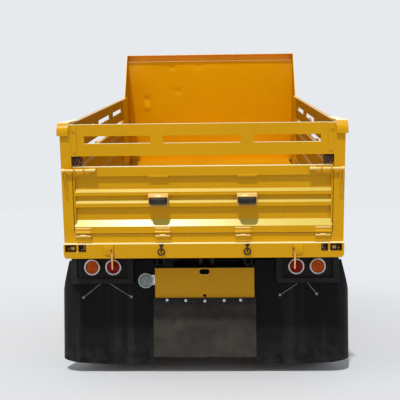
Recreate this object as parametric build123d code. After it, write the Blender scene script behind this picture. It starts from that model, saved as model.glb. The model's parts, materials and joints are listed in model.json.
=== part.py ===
# Six-wheel tipper lorry with its bed partly raised, in millimetres.
# X is to the right, Y forward, Z up; the ground is Z = 0.
# Lengths along the lorry are written from the bed's rear face and shifted by TAIL_Y at the end.
# Bed pieces are drawn in the bed's own axes, floor level, and then tipped with the whole bed.
import os
from math import cos, pi, radians, sin, tan
from build123d import *

# Placing of the whole lorry
TAIL_Y = -3153          # bed's rear face, from the middle of the lorry's length
LEFT, RIGHT = -1, 1
SIDES = (("left", LEFT), ("right", RIGHT))

# Bed: tip angle at rest, height of the tail ledge, hinge and main sizes
BED_TIP = 11.2
LEDGE_Z = 1153
HINGE_V, HINGE_W = 300, -175
POST_OUT, POST_IN = 1153, 1066
CAP_IN, CAP_OUT = POST_OUT - 72, POST_OUT + 19
SIDE_OUT, SIDE_IN = 1115, 1075
FLOOR_TOP, FLOOR_T, FLOOR_GAP = 74, 8, 0.5
BEARER_LOW = -133
SILL_LOW = -120
CAP_TOP = 998           # top of the rounded corner caps
RAIL_TOP = 980          # top of the side boards and of the tail rack
BOARD_LOW = 724         # lower edge of the tail rack
SLOT_LOW, SLOT_HIGH = 826, 886
WALL_TOP = 662          # top of the side walls, under the gap below the boards
SIDE_BOARD_LOW, SIDE_BOARD_T = 735, 12
SIDE_SLOTS, SIDE_SLOT_LONG, SIDE_SLOT_LOW = (500, 1530, 2560), 770, 842
SIDE_POSTS, TALL_POSTS, POST_TOP = (380, 1050, 1720, 2417, 3100), (380, 2417), 815
WALL_LONG = 3480        # length of the side walls, up to the headboard's posts
SIDE_LONG = 3940        # length of the side rails
CHEEK_T = 8             # thickness of the headboard's side plates
CHEEK_TOP = 1520        # top of the headboard's side plates
PANEL_LEAN = 8          # degrees the headboard's sheet leans back
PANEL_TOP_V, PANEL_TOP_W = 4360, 1434
FOOT_TOP = 134          # the sheet stands upright below this
SHEET_T = 8
RIB_TOP = 1400          # top of the ribs in front of the sheet
FRONT_V = 4620          # front face of the bed

# Tailgate
GATE_HALF, GATE_T = 1058, 50
GATE_LOW, GATE_TOP = 84, 636
GATE_PIN_V, GATE_PIN_W = -16, 92
GATE_BAR_TOP = 76
HINGE_LEAVES = (-988, -332, 328, 982)
BUFFERS = (-362, 362)
SILL_HOLES = ((-1139, -1046), (-1029, -967), (967, 1021), (1039, 1135))

# Chassis
RAIL_OUT, RAIL_Z0, RAIL_Z1 = 425, 710, 950
RAIL_REAR, RAIL_FRONT = 348, 6260
SUB_TOP, SUB_IN, SUB_OUT = 1070, 345, 415
PIN_R, BORE_R = 25, 25.4

# Wheels: 9.00R20 tyres
TYRE_R, TYRE_W, BEAD_R = 509, 259, 262
TYRE_SIDES = 40
AXLE_Z = TYRE_R
REAR_AXLE_Y, FRONT_AXLE_Y = 1120, 5220
TWIN_OUT, TWIN_IN = 1035, 745
FRONT_TRACK_X, KINGPIN_X = 960, 850

# Hoist: base pin on the chassis, eye on the bed, and the lengths along the ram
HOIST_BASE = (878, 840)
HOIST_EYE_V, HOIST_EYE_W = 2800, -155
BARREL_R, BARREL_BORE, ROD_R = 75, 55, 40

# Cab
CAB_HALF, CAB_WALL = 1090, 45
CAB_REAR, CAB_FLOOR, CAB_ROOF = 4760, 1105, 2560
CAB_FRONT, CAB_CHIN = 6440, 880
CAB_PIVOT = (6350, 850)
BELT_Z, WINDOW_TOP = 1640, 2380
DOOR_REAR, DOOR_FRONT, DOOR_T = 5180, 6120, 45
DOOR_GAP = 6
DOOR_LOW, DOOR_HIGH = 1150, 2440
DOOR_PIN_X = CAB_HALF + 10
HINGE_HEIGHTS, HINGE_LONG = (1300, 1900), 40
REARWARD, FORWARD = -1, 1
CORNER_R = 60
SCREEN_LOW = 1680

PARTS = {}


def box(x, y, z):
    """Block from three (low, high) pairs."""
    size = [high - low for low, high in (x, y, z)]
    middle = [(high + low) / 2 for low, high in (x, y, z)]
    return Pos(*middle) * Box(*size)


def mirror_x(shape):
    return mirror(shape, about=Plane.YZ)


def both(shape):
    """A piece and its mirror image about the lorry's middle."""
    return [shape, mirror_x(shape)]


def side_profile(points, x):
    """Outline of (y, z) points extruded between two x values."""
    face = make_face(Polyline(*points, close=True))
    return extrude(Plane.YZ.offset(x[0]) * face, amount=x[1] - x[0])


def end_profile(points, y):
    """Outline of (x, z) points extruded between two y values."""
    face = make_face(Polyline(*points, close=True))
    plane = Plane(origin=(0, y[0], 0), x_dir=(1, 0, 0), z_dir=(0, -1, 0))
    return extrude(plane * face, amount=-(y[1] - y[0]))


def rod_x(r, x, y, z):
    """Round bar along X."""
    bar = Pos((x[0] + x[1]) / 2, y, z) * Rot(0, 90, 0)
    return bar * Cylinder(r, x[1] - x[0])


def rod_y(r, x, y, z):
    return Pos(x, (y[0] + y[1]) / 2, z) * Rot(90, 0, 0) * Cylinder(r, y[1] - y[0])


def rod_z(r, x, y, z):
    return Pos(x, y, (z[0] + z[1]) / 2) * Cylinder(r, z[1] - z[0])


def fuse(*pieces):
    flat = []
    for piece in pieces:
        flat.extend(piece if isinstance(piece, list) else [piece])
    whole = flat[0]
    for piece in flat[1:]:
        whole = whole + piece
    return whole


def put(node, *pieces):
    """Keep a node's solids, in lengths from the bed's rear face."""
    solids = []
    for piece in pieces:
        for part in piece if isinstance(piece, list) else [piece]:
            solids.extend(part.solids())
    PARTS[node] = solids


def tip(shape):
    """From the bed's own level axes to its tipped place."""
    return Pos(0, 0, LEDGE_Z) * Rot(BED_TIP, 0, 0) * shape


def put_bed(node, *pieces):
    tipped = []
    for piece in pieces:
        for part in piece if isinstance(piece, list) else [piece]:
            tipped.extend(tip(solid) for solid in part.solids())
    PARTS[node] = tipped


def bed_to_lorry(v, w):
    """Side-view place of a bed point once tipped."""
    a = radians(BED_TIP)
    return v * cos(a) - w * sin(a), LEDGE_Z + v * sin(a) + w * cos(a)


HINGE = bed_to_lorry(HINGE_V, HINGE_W)
EYE = bed_to_lorry(HOIST_EYE_V, HOIST_EYE_W)


def panel_v(w):
    """Rear face of the headboard sheet at height w: upright at its foot, then leaning back."""
    return PANEL_TOP_V + (PANEL_TOP_W - max(w, FOOT_TOP)) * tan(radians(PANEL_LEAN))


def make_bed_floor():
    under = FLOOR_TOP - FLOOR_T
    half = SIDE_IN - FLOOR_GAP
    put_bed("bed_floor", box((-half, half), (60 + FLOOR_GAP, panel_v(0) - FLOOR_GAP), (under, FLOOR_TOP)))


def make_bed_bearers():
    """Two long bearers with the ears of the tail hinge."""
    bearer = box((SUB_IN, SUB_OUT), (60, FRONT_V - 40), (BEARER_LOW, -30))
    ear = box((366, 394), (HINGE_V - 40, HINGE_V + 40), (HINGE_W, BEARER_LOW))
    ear += rod_x(40, (366, 394), HINGE_V, HINGE_W)
    ear -= rod_x(BORE_R, (360, 400), HINGE_V, HINGE_W)
    put_bed("bed_bearers", both(fuse(bearer, ear)))


def make_bed_cross_members():
    """Cross members between bearers and floor, and the plate with the hoist's ears."""
    count = 9
    pitch = (FRONT_V - 160) / count
    places = [60 + i * pitch for i in range(1, count + 1)]
    members = [box((-SIDE_IN, SIDE_IN), (v - 25, v + 25), (-30, FLOOR_TOP - FLOOR_T)) for v in places]
    cross = box((-SUB_IN, SUB_IN), (HOIST_EYE_V - 90, HOIST_EYE_V + 90), (-48, -30))
    hanger = box((52, 72), (HOIST_EYE_V - 60, HOIST_EYE_V + 60), (HOIST_EYE_W - 45, -30))
    hanger += rod_x(34, (72, 86), HOIST_EYE_V, HOIST_EYE_W)
    put_bed("bed_cross_members", *members, fuse(cross, *both(hanger)))


def side_wall():
    """Right-hand wall: panel with swages, and a slatted board carried over it by posts outside."""
    wall = box((SIDE_IN + 12, SIDE_OUT), (60, WALL_LONG), (-34, WALL_TOP))
    for low in (150, 330, 510):
        ridge = [(SIDE_IN + 12, low), (SIDE_IN, low + 14), (SIDE_IN, low + 56), (SIDE_IN + 12, low + 70)]
        wall += end_profile(ridge, (60, WALL_LONG))
    wall += box((SIDE_IN, SIDE_OUT), (60, WALL_LONG), (WALL_TOP - 34, WALL_TOP))
    wall += box((SIDE_IN, SIDE_OUT), (60, WALL_LONG), (-34, FLOOR_TOP - FLOOR_T))
    board = box((SIDE_IN, SIDE_IN + SIDE_BOARD_T), (60, WALL_LONG), (SIDE_BOARD_LOW, RAIL_TOP))
    for start in SIDE_SLOTS:
        board -= box((SIDE_IN - 1, SIDE_OUT), (start, start + SIDE_SLOT_LONG), (SIDE_SLOT_LOW, SLOT_HIGH))
    board += box((SIDE_IN, SIDE_OUT), (60, WALL_LONG), (RAIL_TOP - 28, RAIL_TOP))
    for v in SIDE_POSTS:
        wall += box((SIDE_OUT, SIDE_OUT + 34), (v - 35, v + 35), (-34, WALL_TOP))
    for v in TALL_POSTS:
        wall += box((SIDE_OUT, SIDE_OUT + 34), (v - 35, v + 35), (WALL_TOP - 34, POST_TOP))
        board += box((SIDE_IN + SIDE_BOARD_T, SIDE_OUT), (v - 35, v + 35), (SIDE_BOARD_LOW, POST_TOP))
    return wall + board


def make_bed_sides():
    put_bed("bed_sides", both(side_wall()))


def make_headboard():
    rear = [(panel_v(w), w) for w in (FLOOR_TOP - FLOOR_T, FOOT_TOP, PANEL_TOP_W)]
    front = [(v + SHEET_T, w) for v, w in reversed(rear)]
    half = SIDE_OUT - CHEEK_T
    put_bed("headboard", side_profile(rear + front, (-half, half)))


def make_headboard_frame():
    """Posts at the walls' ends, side plates, top channel and bars in front of the sheet, ribs between."""
    front, bar = FRONT_V, 60
    wide = (-SIDE_OUT + CHEEK_T, SIDE_OUT - CHEEK_T)
    cheek = [(SIDE_LONG - 6, -34), (SIDE_LONG - 6, RAIL_TOP), (SIDE_LONG, RAIL_TOP), (PANEL_TOP_V, CHEEK_TOP),
             (front, CHEEK_TOP), (front, -34)]
    web = PANEL_TOP_V + 80
    bars = [box(wide, (front - bar, front), w) for w in ((-30, 60), (700, 760), (RIB_TOP, CHEEK_TOP))]
    top = box(wide, (PANEL_TOP_V + 4, front), (CHEEK_TOP - 8, CHEEK_TOP))
    back = box(wide, (web, web + 8), (RIB_TOP, CHEEK_TOP))
    lip = box(wide, (PANEL_TOP_V + SHEET_T + 2, web), (PANEL_TOP_W - 8, PANEL_TOP_W))
    cheeks = both(side_profile(cheek, (SIDE_OUT - CHEEK_T, SIDE_OUT)))
    posts = both(box((SIDE_IN, SIDE_OUT), (WALL_LONG + 4, SIDE_LONG), (-34, RAIL_TOP)))
    put_bed("headboard_frame", fuse(*cheeks, *posts, *bars, top, back, lip))
    rib = [(panel_v(w) + SHEET_T, w) for w in (60, FOOT_TOP, RIB_TOP)] + [(front, RIB_TOP), (front, 60)]
    ribs = [side_profile(rib, (x - 30, x + 30)) - bars[1] for x in (-860, -430, 0, 430, 860)]
    put_bed("headboard_ribs", *ribs)


def make_tail_frame():
    """Rear posts with their capped corners, the sill with its end recesses, and the bar over it."""
    pieces = both(box((POST_IN, POST_OUT), (0, 60), (0, RAIL_TOP)))
    chamfer_in = POST_OUT - 15
    sill_ends = [(-chamfer_in, SILL_LOW), (chamfer_in, SILL_LOW), (POST_OUT, SILL_LOW + 24), (POST_OUT, 0),
                 (-POST_OUT, 0), (-POST_OUT, SILL_LOW + 24)]
    sill = end_profile(sill_ends, (-50, 60))
    for x in SILL_HOLES:
        sill -= box(x, (-51, -12), (-63, -3))
    pieces.append(sill)
    pieces.append(box((-POST_IN, POST_IN), (0, 60), (0, GATE_BAR_TOP)))
    for x in HINGE_LEAVES:
        pieces.append(box((x - 62, x + 62), (-10, 0), (8, GATE_BAR_TOP - 6)))
    cap = box((CAP_IN, CAP_OUT), (-22, 60), (894, CAP_TOP))
    cap = fillet(cap.edges().filter_by(Axis.X).sort_by(Axis.Z)[-2:].sort_by(Axis.Y)[:1], 80)
    pieces += both(cap)
    rise_end = 560
    gusset = [(60, 905), (60, CAP_TOP), (rise_end, RAIL_TOP), (rise_end, 905)]
    wedge = [(60, RAIL_TOP), (60, CAP_TOP), (rise_end, RAIL_TOP)]
    pieces += both(side_profile(gusset, (SIDE_OUT, POST_OUT)))
    pieces += both(side_profile(wedge, (CAP_IN, SIDE_OUT)))
    put_bed("tail_frame", fuse(*pieces))


def make_tail_rack():
    """Fixed slatted board across the tail, over the gate."""
    board = box((-1018, 1018), (8, 38), (BOARD_LOW, RAIL_TOP + 2))
    for x in ((-958, -417), (-313, 313), (417, 958)):
        board -= box(x, (0, 50), (SLOT_LOW, SLOT_HIGH))
    plate = box((1018, POST_IN), (2, 44), (BOARD_LOW, RAIL_TOP))
    put_bed("tail_rack", fuse(board, *both(plate)))


def make_tailgate():
    """Pressed panel in a frame, with its hinge leaves and buffer brackets."""
    back, face = GATE_T, 0
    # rear-face profile of the pressed panel as (v, w), from the top rail down
    outline = [(back, GATE_TOP), (face, GATE_TOP), (face, 558), (24, 556), (24, 448), (2, 426), (2, 398),
               (24, 384), (24, 356), (2, 334), (2, 302), (28, 288), (28, 190), (-14, 141),
               (-14, GATE_LOW), (back, GATE_LOW)]
    gate = side_profile(outline, (-GATE_HALF, GATE_HALF))
    stile = box((GATE_HALF - 12, GATE_HALF), (face, back), (GATE_LOW, GATE_TOP))
    pieces = [gate, *both(stile)]
    for x in BUFFERS:
        pieces.append(box((x - 80, x + 80), (-14, 30), (311, 411)))
    for x in HINGE_LEAVES:
        pieces.append(box((x - 62, x + 62), (-20, 0), (GATE_PIN_W, 130)))
        pieces.append(rod_x(12, (x - 62, x + 62), GATE_PIN_V, GATE_PIN_W))
    put_bed("tailgate", fuse(*pieces))


def make_buffers():
    """Two rubber stops that stand out of the gate, rounded in plan."""
    pieces = []
    for x in BUFFERS:
        block = box((x - 68, x + 68), (-84, -14), (330, 391))
        edges = block.edges().filter_by(Axis.Z).sort_by(Axis.Y)[:2]
        pieces.append(fillet(edges, 34))
    put_bed("tailgate_buffers", *pieces)


def make_latches():
    """Sliding bolt on the gate's top rail and its hanging handle, at each corner."""
    bolt = rod_x(10, (GATE_HALF - 140, 1148), -16, 604)
    knuckle = box((GATE_HALF - 190, GATE_HALF - 140), (-28, 0), (586, 622))
    clip = box((GATE_HALF - 30, GATE_HALF - 10), (-20, 0), (592, 616))
    handle = box((1128, 1148), (-24, -6), (440, 604))
    put_bed("tailgate_latches", both(fuse(bolt, knuckle, clip, handle)))


def make_chassis_frame():
    """Two channel rails with the lamp arms and cab pivots, and the members between them."""
    web = 8
    flange = 80
    outer, low, high = RAIL_OUT, RAIL_Z0, RAIL_Z1
    channel = [(outer, low), (outer, high), (outer - flange, high), (outer - flange, high - web),
               (outer - web, high - web), (outer - web, low + web), (outer - flange, low + web),
               (outer - flange, low)]
    rail = end_profile(channel, (RAIL_REAR, RAIL_FRONT))
    arm = box((outer, 1080), (388, 418), (880, 940))
    pivot_y, pivot_z = CAB_PIVOT
    cab_ear = box((395, outer), (RAIL_FRONT - 40, pivot_y + 35), (760, pivot_z + 35))
    cab_ear += rod_x(PIN_R, (335, outer), pivot_y, pivot_z)
    put("chassis_rails", both(fuse(rail, arm, cab_ear)))
    inner = RAIL_OUT - web
    members = [box((-inner, inner), (y - 35, y + 35), (low + web, low + 88))
               for y in (400, 1640, 2900, 4000, 6170)]
    put("chassis_cross_members", *members, rod_x(40, (-inner, inner), *HOIST_BASE))


def make_subframe():
    hinge_y, hinge_z = HINGE
    tube = box((SUB_IN, SUB_OUT), (hinge_y + 92, 4640), (RAIL_Z1, SUB_TOP))
    outer_plate = box((SUB_OUT - 15, SUB_OUT), (hinge_y, hinge_y + 92), (RAIL_Z1, hinge_z + 30))
    outer_plate += rod_x(36, (SUB_OUT - 15, SUB_OUT), hinge_y, hinge_z)
    outer_plate += box((SUB_OUT - 15, SUB_OUT), (hinge_y - 36, hinge_y), (RAIL_Z1, hinge_z))
    inner_plate = Pos(-(SUB_OUT - SUB_IN - 15), 0, 0) * outer_plate
    half = fuse(tube, outer_plate, inner_plate)
    pin = rod_x(PIN_R, (-SUB_OUT, SUB_OUT), hinge_y, hinge_z)
    members = [box((-SUB_IN, SUB_IN), (y - 30, y + 30), (RAIL_Z1, RAIL_Z1 + 60)) for y in (3200, 4600)]
    put("subframe", fuse(*both(half), pin, *members))


def make_tail_plates():
    plate = box((-432, 432), (RAIL_REAR - 8, RAIL_REAR), (602, 914))
    plate -= rod_y(14, 0, (300, 400), 674)
    plate -= box((-22, 22), (300, 400), (860, 904)) + both(rod_y(22, 22, (300, 400), 882))
    put("guard_plate", plate)
    flap = box((-446, 446), (RAIL_REAR - 16, RAIL_REAR - 8), (142, 655))
    flap += box((-446, 446), (RAIL_REAR - 22, RAIL_REAR - 16), (600, 655))
    put("centre_flap", flap)


def make_mud_flaps():
    """Rubber sheets behind the rear wheels, their outer edge curled forward."""
    inner, flat_end, reach = 440, 1090, 1272
    y, thick = 380, 8
    outer_r = reach - flat_end
    inner_r = outer_r - thick
    middle_y = y + outer_r
    half = sin(radians(45))
    with BuildPart() as sheet:
        with BuildSketch(Plane.XY.offset(70)):
            with BuildLine():
                Line((inner, y), (flat_end, y))
                ThreePointArc((flat_end, y), (flat_end + outer_r * half, middle_y - outer_r * half),
                              (reach, middle_y))
                Line((reach, middle_y), (reach - thick, middle_y))
                ThreePointArc((reach - thick, middle_y),
                              (flat_end + inner_r * half, middle_y - inner_r * half),
                              (flat_end, y + thick))
                Line((flat_end, y + thick), (inner, y + thick))
                Line((inner, y + thick), (inner, y))
            make_face()
        extrude(amount=910)
    # rear outline of one flap as (x, z)
    cut = [(inner - 10, 80), (inner - 10, 1000), (1190, 1000), (1285, 650), (1272, 106), (1100, 86),
           (800, 72)]
    flap = sheet.part & end_profile(cut, (300, 700))
    put("mud_flaps", both(flap))


def make_lamp_boxes():
    low, high, wall = 783, 1005, 52
    outer = box((622, 1163), (330, 380), (low, high))
    outer -= box((622 + wall, 1163 - wall), (320, 370), (low + 44, high + 5))
    put("lamp_boxes", both(outer))


def make_tail_lamps():
    """Round lamps in bright rims, two to a side, and one clear reversing lamp."""
    pieces = []
    for x in (795, 980):
        pieces += both(rod_y(71, x, (322, 370), 926))
    clear = rod_y(68, -515, (340, 378), 806) + box((-515, -RAIL_OUT), (362, 370), (776, 836))
    put("tail_lamps", pieces, clear)


def tyre(x):
    """Tyre with flat facets, one of them on the ground, centred on x."""
    # half section as (width from the middle, radius), from bead to tread
    half = [(95, BEAD_R), (122, 306), (TYRE_W / 2, 362), (TYRE_W / 2, 424), (116, 482), (90, TYRE_R)]
    section = half + [(-across, r) for across, r in reversed(half)]
    step = 2 * pi / TYRE_SIDES
    rings = []
    reach = 1 / cos(step / 2)      # corners stand out so that the flats reach the section's radii
    for i in range(TYRE_SIDES):
        y, z = reach * sin((i + 0.5) * step), reach * cos((i + 0.5) * step)
        rings.append([(across, r * y, r * z) for across, r in section])
    faces = []
    for i in range(TYRE_SIDES):
        near, far = rings[i], rings[(i + 1) % TYRE_SIDES]
        for j in range(len(section)):
            k = (j + 1) % len(section)
            faces.append(Face(Wire.make_polygon([near[j], near[k], far[k], far[j]], close=True)))
    return Pos(x, 0, AXLE_Z) * Solid(Shell(faces))


def rim_barrel(x):
    """Drum of a wheel with its flanges, hollow inside."""
    section = [(-95, BEAD_R - 1), (95, BEAD_R - 1), (95, 236), (80, 236), (80, 226), (-80, 226),
               (-80, 236), (-95, 236)]
    face = make_face(Polyline(*section, close=True))
    return Pos(x, 0, AXLE_Z) * revolve(Plane.XY * face, axis=Axis.X)


def disc(r, x):
    return rod_x(r, x, 0, AXLE_Z)


def make_rear_wheels():
    for side, s in SIDES:
        tyres = [tyre(TWIN_OUT), tyre(TWIN_IN)]
        rims = fuse(rim_barrel(TWIN_OUT), rim_barrel(TWIN_IN), disc(230, (872, 908)),
                    disc(118, (820, 1080)))
        for x in ((TWIN_OUT - 95, 872), (908, TWIN_OUT - 70)):
            rims += disc(228, (min(x), max(x))) - disc(214, (min(x) - 1, max(x) + 1))
        rims += disc(228, (TWIN_IN + 70, 872)) - disc(214, (TWIN_IN + 69, 873))
        rims -= disc(60.5, (800, 1000))
        place = Pos(0, REAR_AXLE_Y, 0)
        if s == LEFT:
            tyres = [mirror_x(t) for t in tyres]
            rims = mirror_x(rims)
        put(f"rear_tyres_{side}", *[place * t for t in tyres])
        put(f"rear_rims_{side}", place * rims)


def make_front_wheels():
    for side, s in SIDES:
        hub_out = FRONT_TRACK_X + 90
        rim = fuse(rim_barrel(FRONT_TRACK_X), disc(228, (FRONT_TRACK_X + 40, FRONT_TRACK_X + 56)),
                   disc(95, (FRONT_TRACK_X - 10, hub_out)))
        rim -= disc(38.5, (FRONT_TRACK_X - 20, hub_out - 30))
        rubber = tyre(FRONT_TRACK_X)
        place = Pos(0, FRONT_AXLE_Y, 0)
        if s == LEFT:
            rim = mirror_x(rim)
            rubber = mirror_x(rubber)
        put(f"front_tyre_{side}", place * rubber)
        put(f"front_rim_{side}", place * rim)


def make_axles():
    y = REAR_AXLE_Y
    tube = rod_x(70, (-800, 800), y, AXLE_Z)
    drum = rod_x(190, (600, 790), y, AXLE_Z)
    spindle = rod_x(60, (790, 990), y, AXLE_Z)
    ball = Pos(0, y, AXLE_Z) * Sphere(205)
    nose = rod_y(80, 0, (y, y + 300), AXLE_Z + 20)
    put("rear_axle", fuse(tube, *both(drum), *both(spindle), ball, nose))

    y = FRONT_AXLE_Y
    beam = box((-KINGPIN_X + 80, KINGPIN_X - 80), (y - 45, y + 45), (AXLE_Z - 110, AXLE_Z - 20))
    yoke = box((KINGPIN_X - 110, KINGPIN_X), (y - 40, y + 40), (AXLE_Z - 40, AXLE_Z + 40))
    boss = rod_z(40, KINGPIN_X, y, (AXLE_Z - 40, AXLE_Z + 40))
    pin = rod_z(20, KINGPIN_X, y, (AXLE_Z - 100, AXLE_Z + 100))
    put("front_axle", fuse(beam, *both(fuse(yoke, boss, pin))))

    for side, s in SIDES:
        arms = box((KINGPIN_X - 40, KINGPIN_X + 40), (y - 35, y + 35), (AXLE_Z - 100, AXLE_Z - 48))
        arms += box((KINGPIN_X - 40, KINGPIN_X + 40), (y - 35, y + 35), (AXLE_Z + 48, AXLE_Z + 100))
        arms -= rod_z(20.5, KINGPIN_X, y, (AXLE_Z - 120, AXLE_Z + 120))
        back = box((KINGPIN_X + 45, KINGPIN_X + 70), (y - 60, y + 60), (AXLE_Z - 100, AXLE_Z + 100))
        bridge = [box((KINGPIN_X + 30, KINGPIN_X + 60), (y - 35, y + 35), (AXLE_Z + a, AXLE_Z + b))
                  for a, b in ((-100, -48), (48, 100))]
        spindle = rod_x(38, (KINGPIN_X + 60, FRONT_TRACK_X + 50), y, AXLE_Z)
        knuckle = fuse(arms, *bridge, back, spindle)
        put(f"knuckle_{side}", mirror_x(knuckle) if s == LEFT else knuckle)


def leaf_spring(y, x, seat, low, high):
    """Leaf pack sagging between its two hangers, as a stepped stack."""
    leaves = []
    for i in range(5):
        half = seat - i * seat * 0.16
        z = low + 14 * (4 - i)
        leaves.append(box(x, (y - half, y + half), (z, z + 14)))
    for end in (-1, 1):
        hanger = box(x, (y + end * seat - 35, y + end * seat + 35), (low + 56, high))
        leaves.append(hanger)
    return fuse(*leaves)


def make_springs():
    rear = leaf_spring(REAR_AXLE_Y, (460, 540), 640, AXLE_Z + 70, 780)
    rear += box((425, 540), (REAR_AXLE_Y - 675, REAR_AXLE_Y - 605), (720, 790))
    rear += box((425, 540), (REAR_AXLE_Y + 605, REAR_AXLE_Y + 675), (720, 790))
    front = leaf_spring(FRONT_AXLE_Y, (345, 421), 620, AXLE_Z - 20, RAIL_Z0)
    put("springs", both(rear), both(front))


def make_powertrain():
    put("engine_block", box((-290, 290), (5000, 6000), (600, 1085)))
    gearbox = box((-170, 170), (4450, 4995), (620, 900))
    shaft_low = (1425, AXLE_Z + 20)
    shaft_high = (4450, 700)
    run = Edge.make_line((0, *shaft_low), (0, *shaft_high))
    shaft = sweep(Plane(run @ 0, z_dir=run % 0) * Circle(38), path=run)
    put("driveline", fuse(gearbox, shaft))


def make_chassis_fittings():
    tank = box((-980, -500), (2700, 3700), (500, 900))
    tank = fillet(tank.edges().filter_by(Axis.Y), 60)
    straps = [box((-984, -430), (y - 25, y + 25), (480, 904)) for y in (2900, 3500)]
    put("fuel_tank", fuse(tank, *straps))
    battery = box((480, 930), (3050, 3650), (560, 880)) + box((425, 490), (3100, 3600), (780, 860))
    put("battery_box", battery)
    tanks = [rod_y(110, x, (2150, 2950), 640) for x in (560, 800)]
    carrier = box((425, 920), (2300, 2350), (745, 790)) + box((425, 920), (2750, 2800), (745, 790))
    put("air_tanks", fuse(*tanks, carrier))
    muffler = rod_y(130, 640, (3780, 4480), 640)
    pipe = rod_y(38, 640, (3700, 4560), 600)
    hanger = box((425, 700), (4000, 4040), (760, 800)) + box((425, 700), (4250, 4290), (760, 800))
    put("exhaust", fuse(muffler, pipe, hanger))


def make_front_end():
    face_y = CAB_FRONT + 60
    bumper = box((-1090, 1090), (CAB_FRONT - 40, face_y), (480, 790))
    bumper = fillet(bumper.edges().filter_by(Axis.Z).sort_by(Axis.Y)[-2:], 60)
    bumper -= box((-1000, 1000), (CAB_FRONT - 60, face_y - 40), (500, 770))
    side = box((1040, 1090), (5830, CAB_FRONT - 30), (480, 790))
    step = box((760, 1085), (5850, 6250), (560, 590))
    mount = box((RAIL_OUT, RAIL_OUT + 30), (6160, face_y - 30), (720, 780))
    put("front_bumper", fuse(bumper, *both(side), *both(step), *both(mount)))
    lamp = box((760, 1010), (face_y, face_y + 14), (560, 740))
    put("headlamps", both(lamp))
    ring = rod_x(581, (780, 1080), FRONT_AXLE_Y, AXLE_Z) - rod_x(575, (770, 1090), FRONT_AXLE_Y, AXLE_Z)
    arch = ring & box((700, 1200), (4600, 5900), (AXLE_Z + 150, 1200))
    stays = [box((RAIL_OUT, 800), (y - 14, y + 14), (AXLE_Z + 180, AXLE_Z + 220))
             for y in (FRONT_AXLE_Y - 545, FRONT_AXLE_Y + 545)]
    put("front_mudguards", both(fuse(arch, *stays)))


def cab_outline(inset=0):
    """Side view of the cab as (y, z), drawn smaller by the wall when inset."""
    t = inset
    return [(CAB_REAR + t, CAB_FLOOR + t), (CAB_REAR + t, CAB_ROOF - 50 - t / 2),
            (CAB_REAR + 50 + t / 2, CAB_ROOF - t), (6060 - t / 2, CAB_ROOF - t),
            (6180 - t, CAB_ROOF - 70 - t / 2), (CAB_FRONT - 20 - t, BELT_Z),
            (CAB_FRONT - t, 1300), (CAB_FRONT - t, CAB_FLOOR + t)]


def screen_y(z):
    """Outer face of the windscreen at height z."""
    low, high = (CAB_FRONT - 20, BELT_Z), (6180, CAB_ROOF - 70)
    return low[0] + (z - low[1]) * (high[0] - low[0]) / (high[1] - low[1])


def make_cab():
    shell = side_profile(cab_outline(), (-CAB_HALF, CAB_HALF))
    corners = [e for e in shell.edges().filter_by(Axis.X, reverse=True)
               if e.center().Y > CAB_REAR + 10 and e.center().Z > CAB_FLOOR + 10]
    shell = fillet(corners, CORNER_R)
    shell -= side_profile(cab_outline(CAB_WALL), (-CAB_HALF + CAB_WALL, CAB_HALF - CAB_WALL))
    chin_face = [(-CAB_HALF + CORNER_R, CAB_CHIN), (CAB_HALF - CORNER_R, CAB_CHIN),
                 (CAB_HALF - CORNER_R, CAB_FLOOR + 60), (-CAB_HALF + CORNER_R, CAB_FLOOR + 60)]
    chin = end_profile(chin_face, (CAB_FRONT - 45, CAB_FRONT))
    opening = box((CAB_HALF - 60, CAB_HALF + 10), (DOOR_REAR, DOOR_FRONT), (DOOR_LOW, DOOR_HIGH))
    shell -= opening
    shell -= mirror_x(opening)
    shell -= box((-980, 980), (6100, 6600), (SCREEN_LOW, WINDOW_TOP))
    shell -= box((-700, 700), (CAB_REAR - 10, CAB_REAR + 60), (1750, 2300))
    pivot_y, pivot_z = CAB_PIVOT
    ear = box((350, 385), (pivot_y - 40, CAB_FRONT - 20), (CAB_CHIN, CAB_FLOOR + 10))
    ear += box((350, 385), (pivot_y - 35, pivot_y + 35), (pivot_z, CAB_CHIN))
    ear += rod_x(35, (350, 385), pivot_y, pivot_z)
    ear -= rod_x(BORE_R, (340, 390), pivot_y, pivot_z)
    hinges = [hinge_half(z + HINGE_LONG + 2, FORWARD) for z in HINGE_HEIGHTS]
    put("cab_shell", fuse(shell, chin, *both(fuse(ear, *hinges))))
    pane = [(screen_y(z) - dy, z) for z, dy in (
        (SCREEN_LOW, 15), (WINDOW_TOP, 15), (WINDOW_TOP, 22), (SCREEN_LOW, 22))]
    rear = box((-700, 700), (CAB_REAR + 18, CAB_REAR + 24), (1750, 2300))
    put("cab_glass", side_profile(pane, (-980, 980)), rear)


def make_cab_inside():
    dash = [(CAB_FRONT - 70, 1610), (6090, 1590), (6030, 1490), (6090, 1290), (CAB_FRONT - 55, 1250)]
    board = side_profile(dash, (-CAB_HALF + 50, CAB_HALF - 50))
    wheel_x, wheel_y, wheel_z = 600, 5930, 1560
    place = Pos(wheel_x, wheel_y, wheel_z) * Rot(32, 0, 0)
    ring = revolve(Plane.XZ * Pos(205, 0) * RegularPolygon(16, 8), axis=Axis.Z)
    spokes = Box(400, 34, 14) + Pos(0, -100, 0) * Box(34, 200, 14)
    hub = Cylinder(45, 50)
    column = Pos(0, 0, -115) * Cylinder(28, 230)
    put("steering_wheel", place * (ring + spokes + hub + column))
    put("dashboard", board - place * Pos(0, 0, -150) * Cylinder(30, 400))
    seats = []
    floor = CAB_FLOOR + CAB_WALL
    for low, high in ((350, 850), (-850, -50)):
        base = box((low + 60, high - 60), (5240, 5680), (floor, floor + 150))
        cushion = box((low, high), (5230, 5730), (floor + 150, floor + 290))
        back_rest = [(5110, floor + 260), (5040, floor + 900), (5150, floor + 900), (5250, floor + 260)]
        seats.append(fuse(base, cushion, side_profile(back_rest, (low, high))))
    put("seats", *seats)


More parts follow.
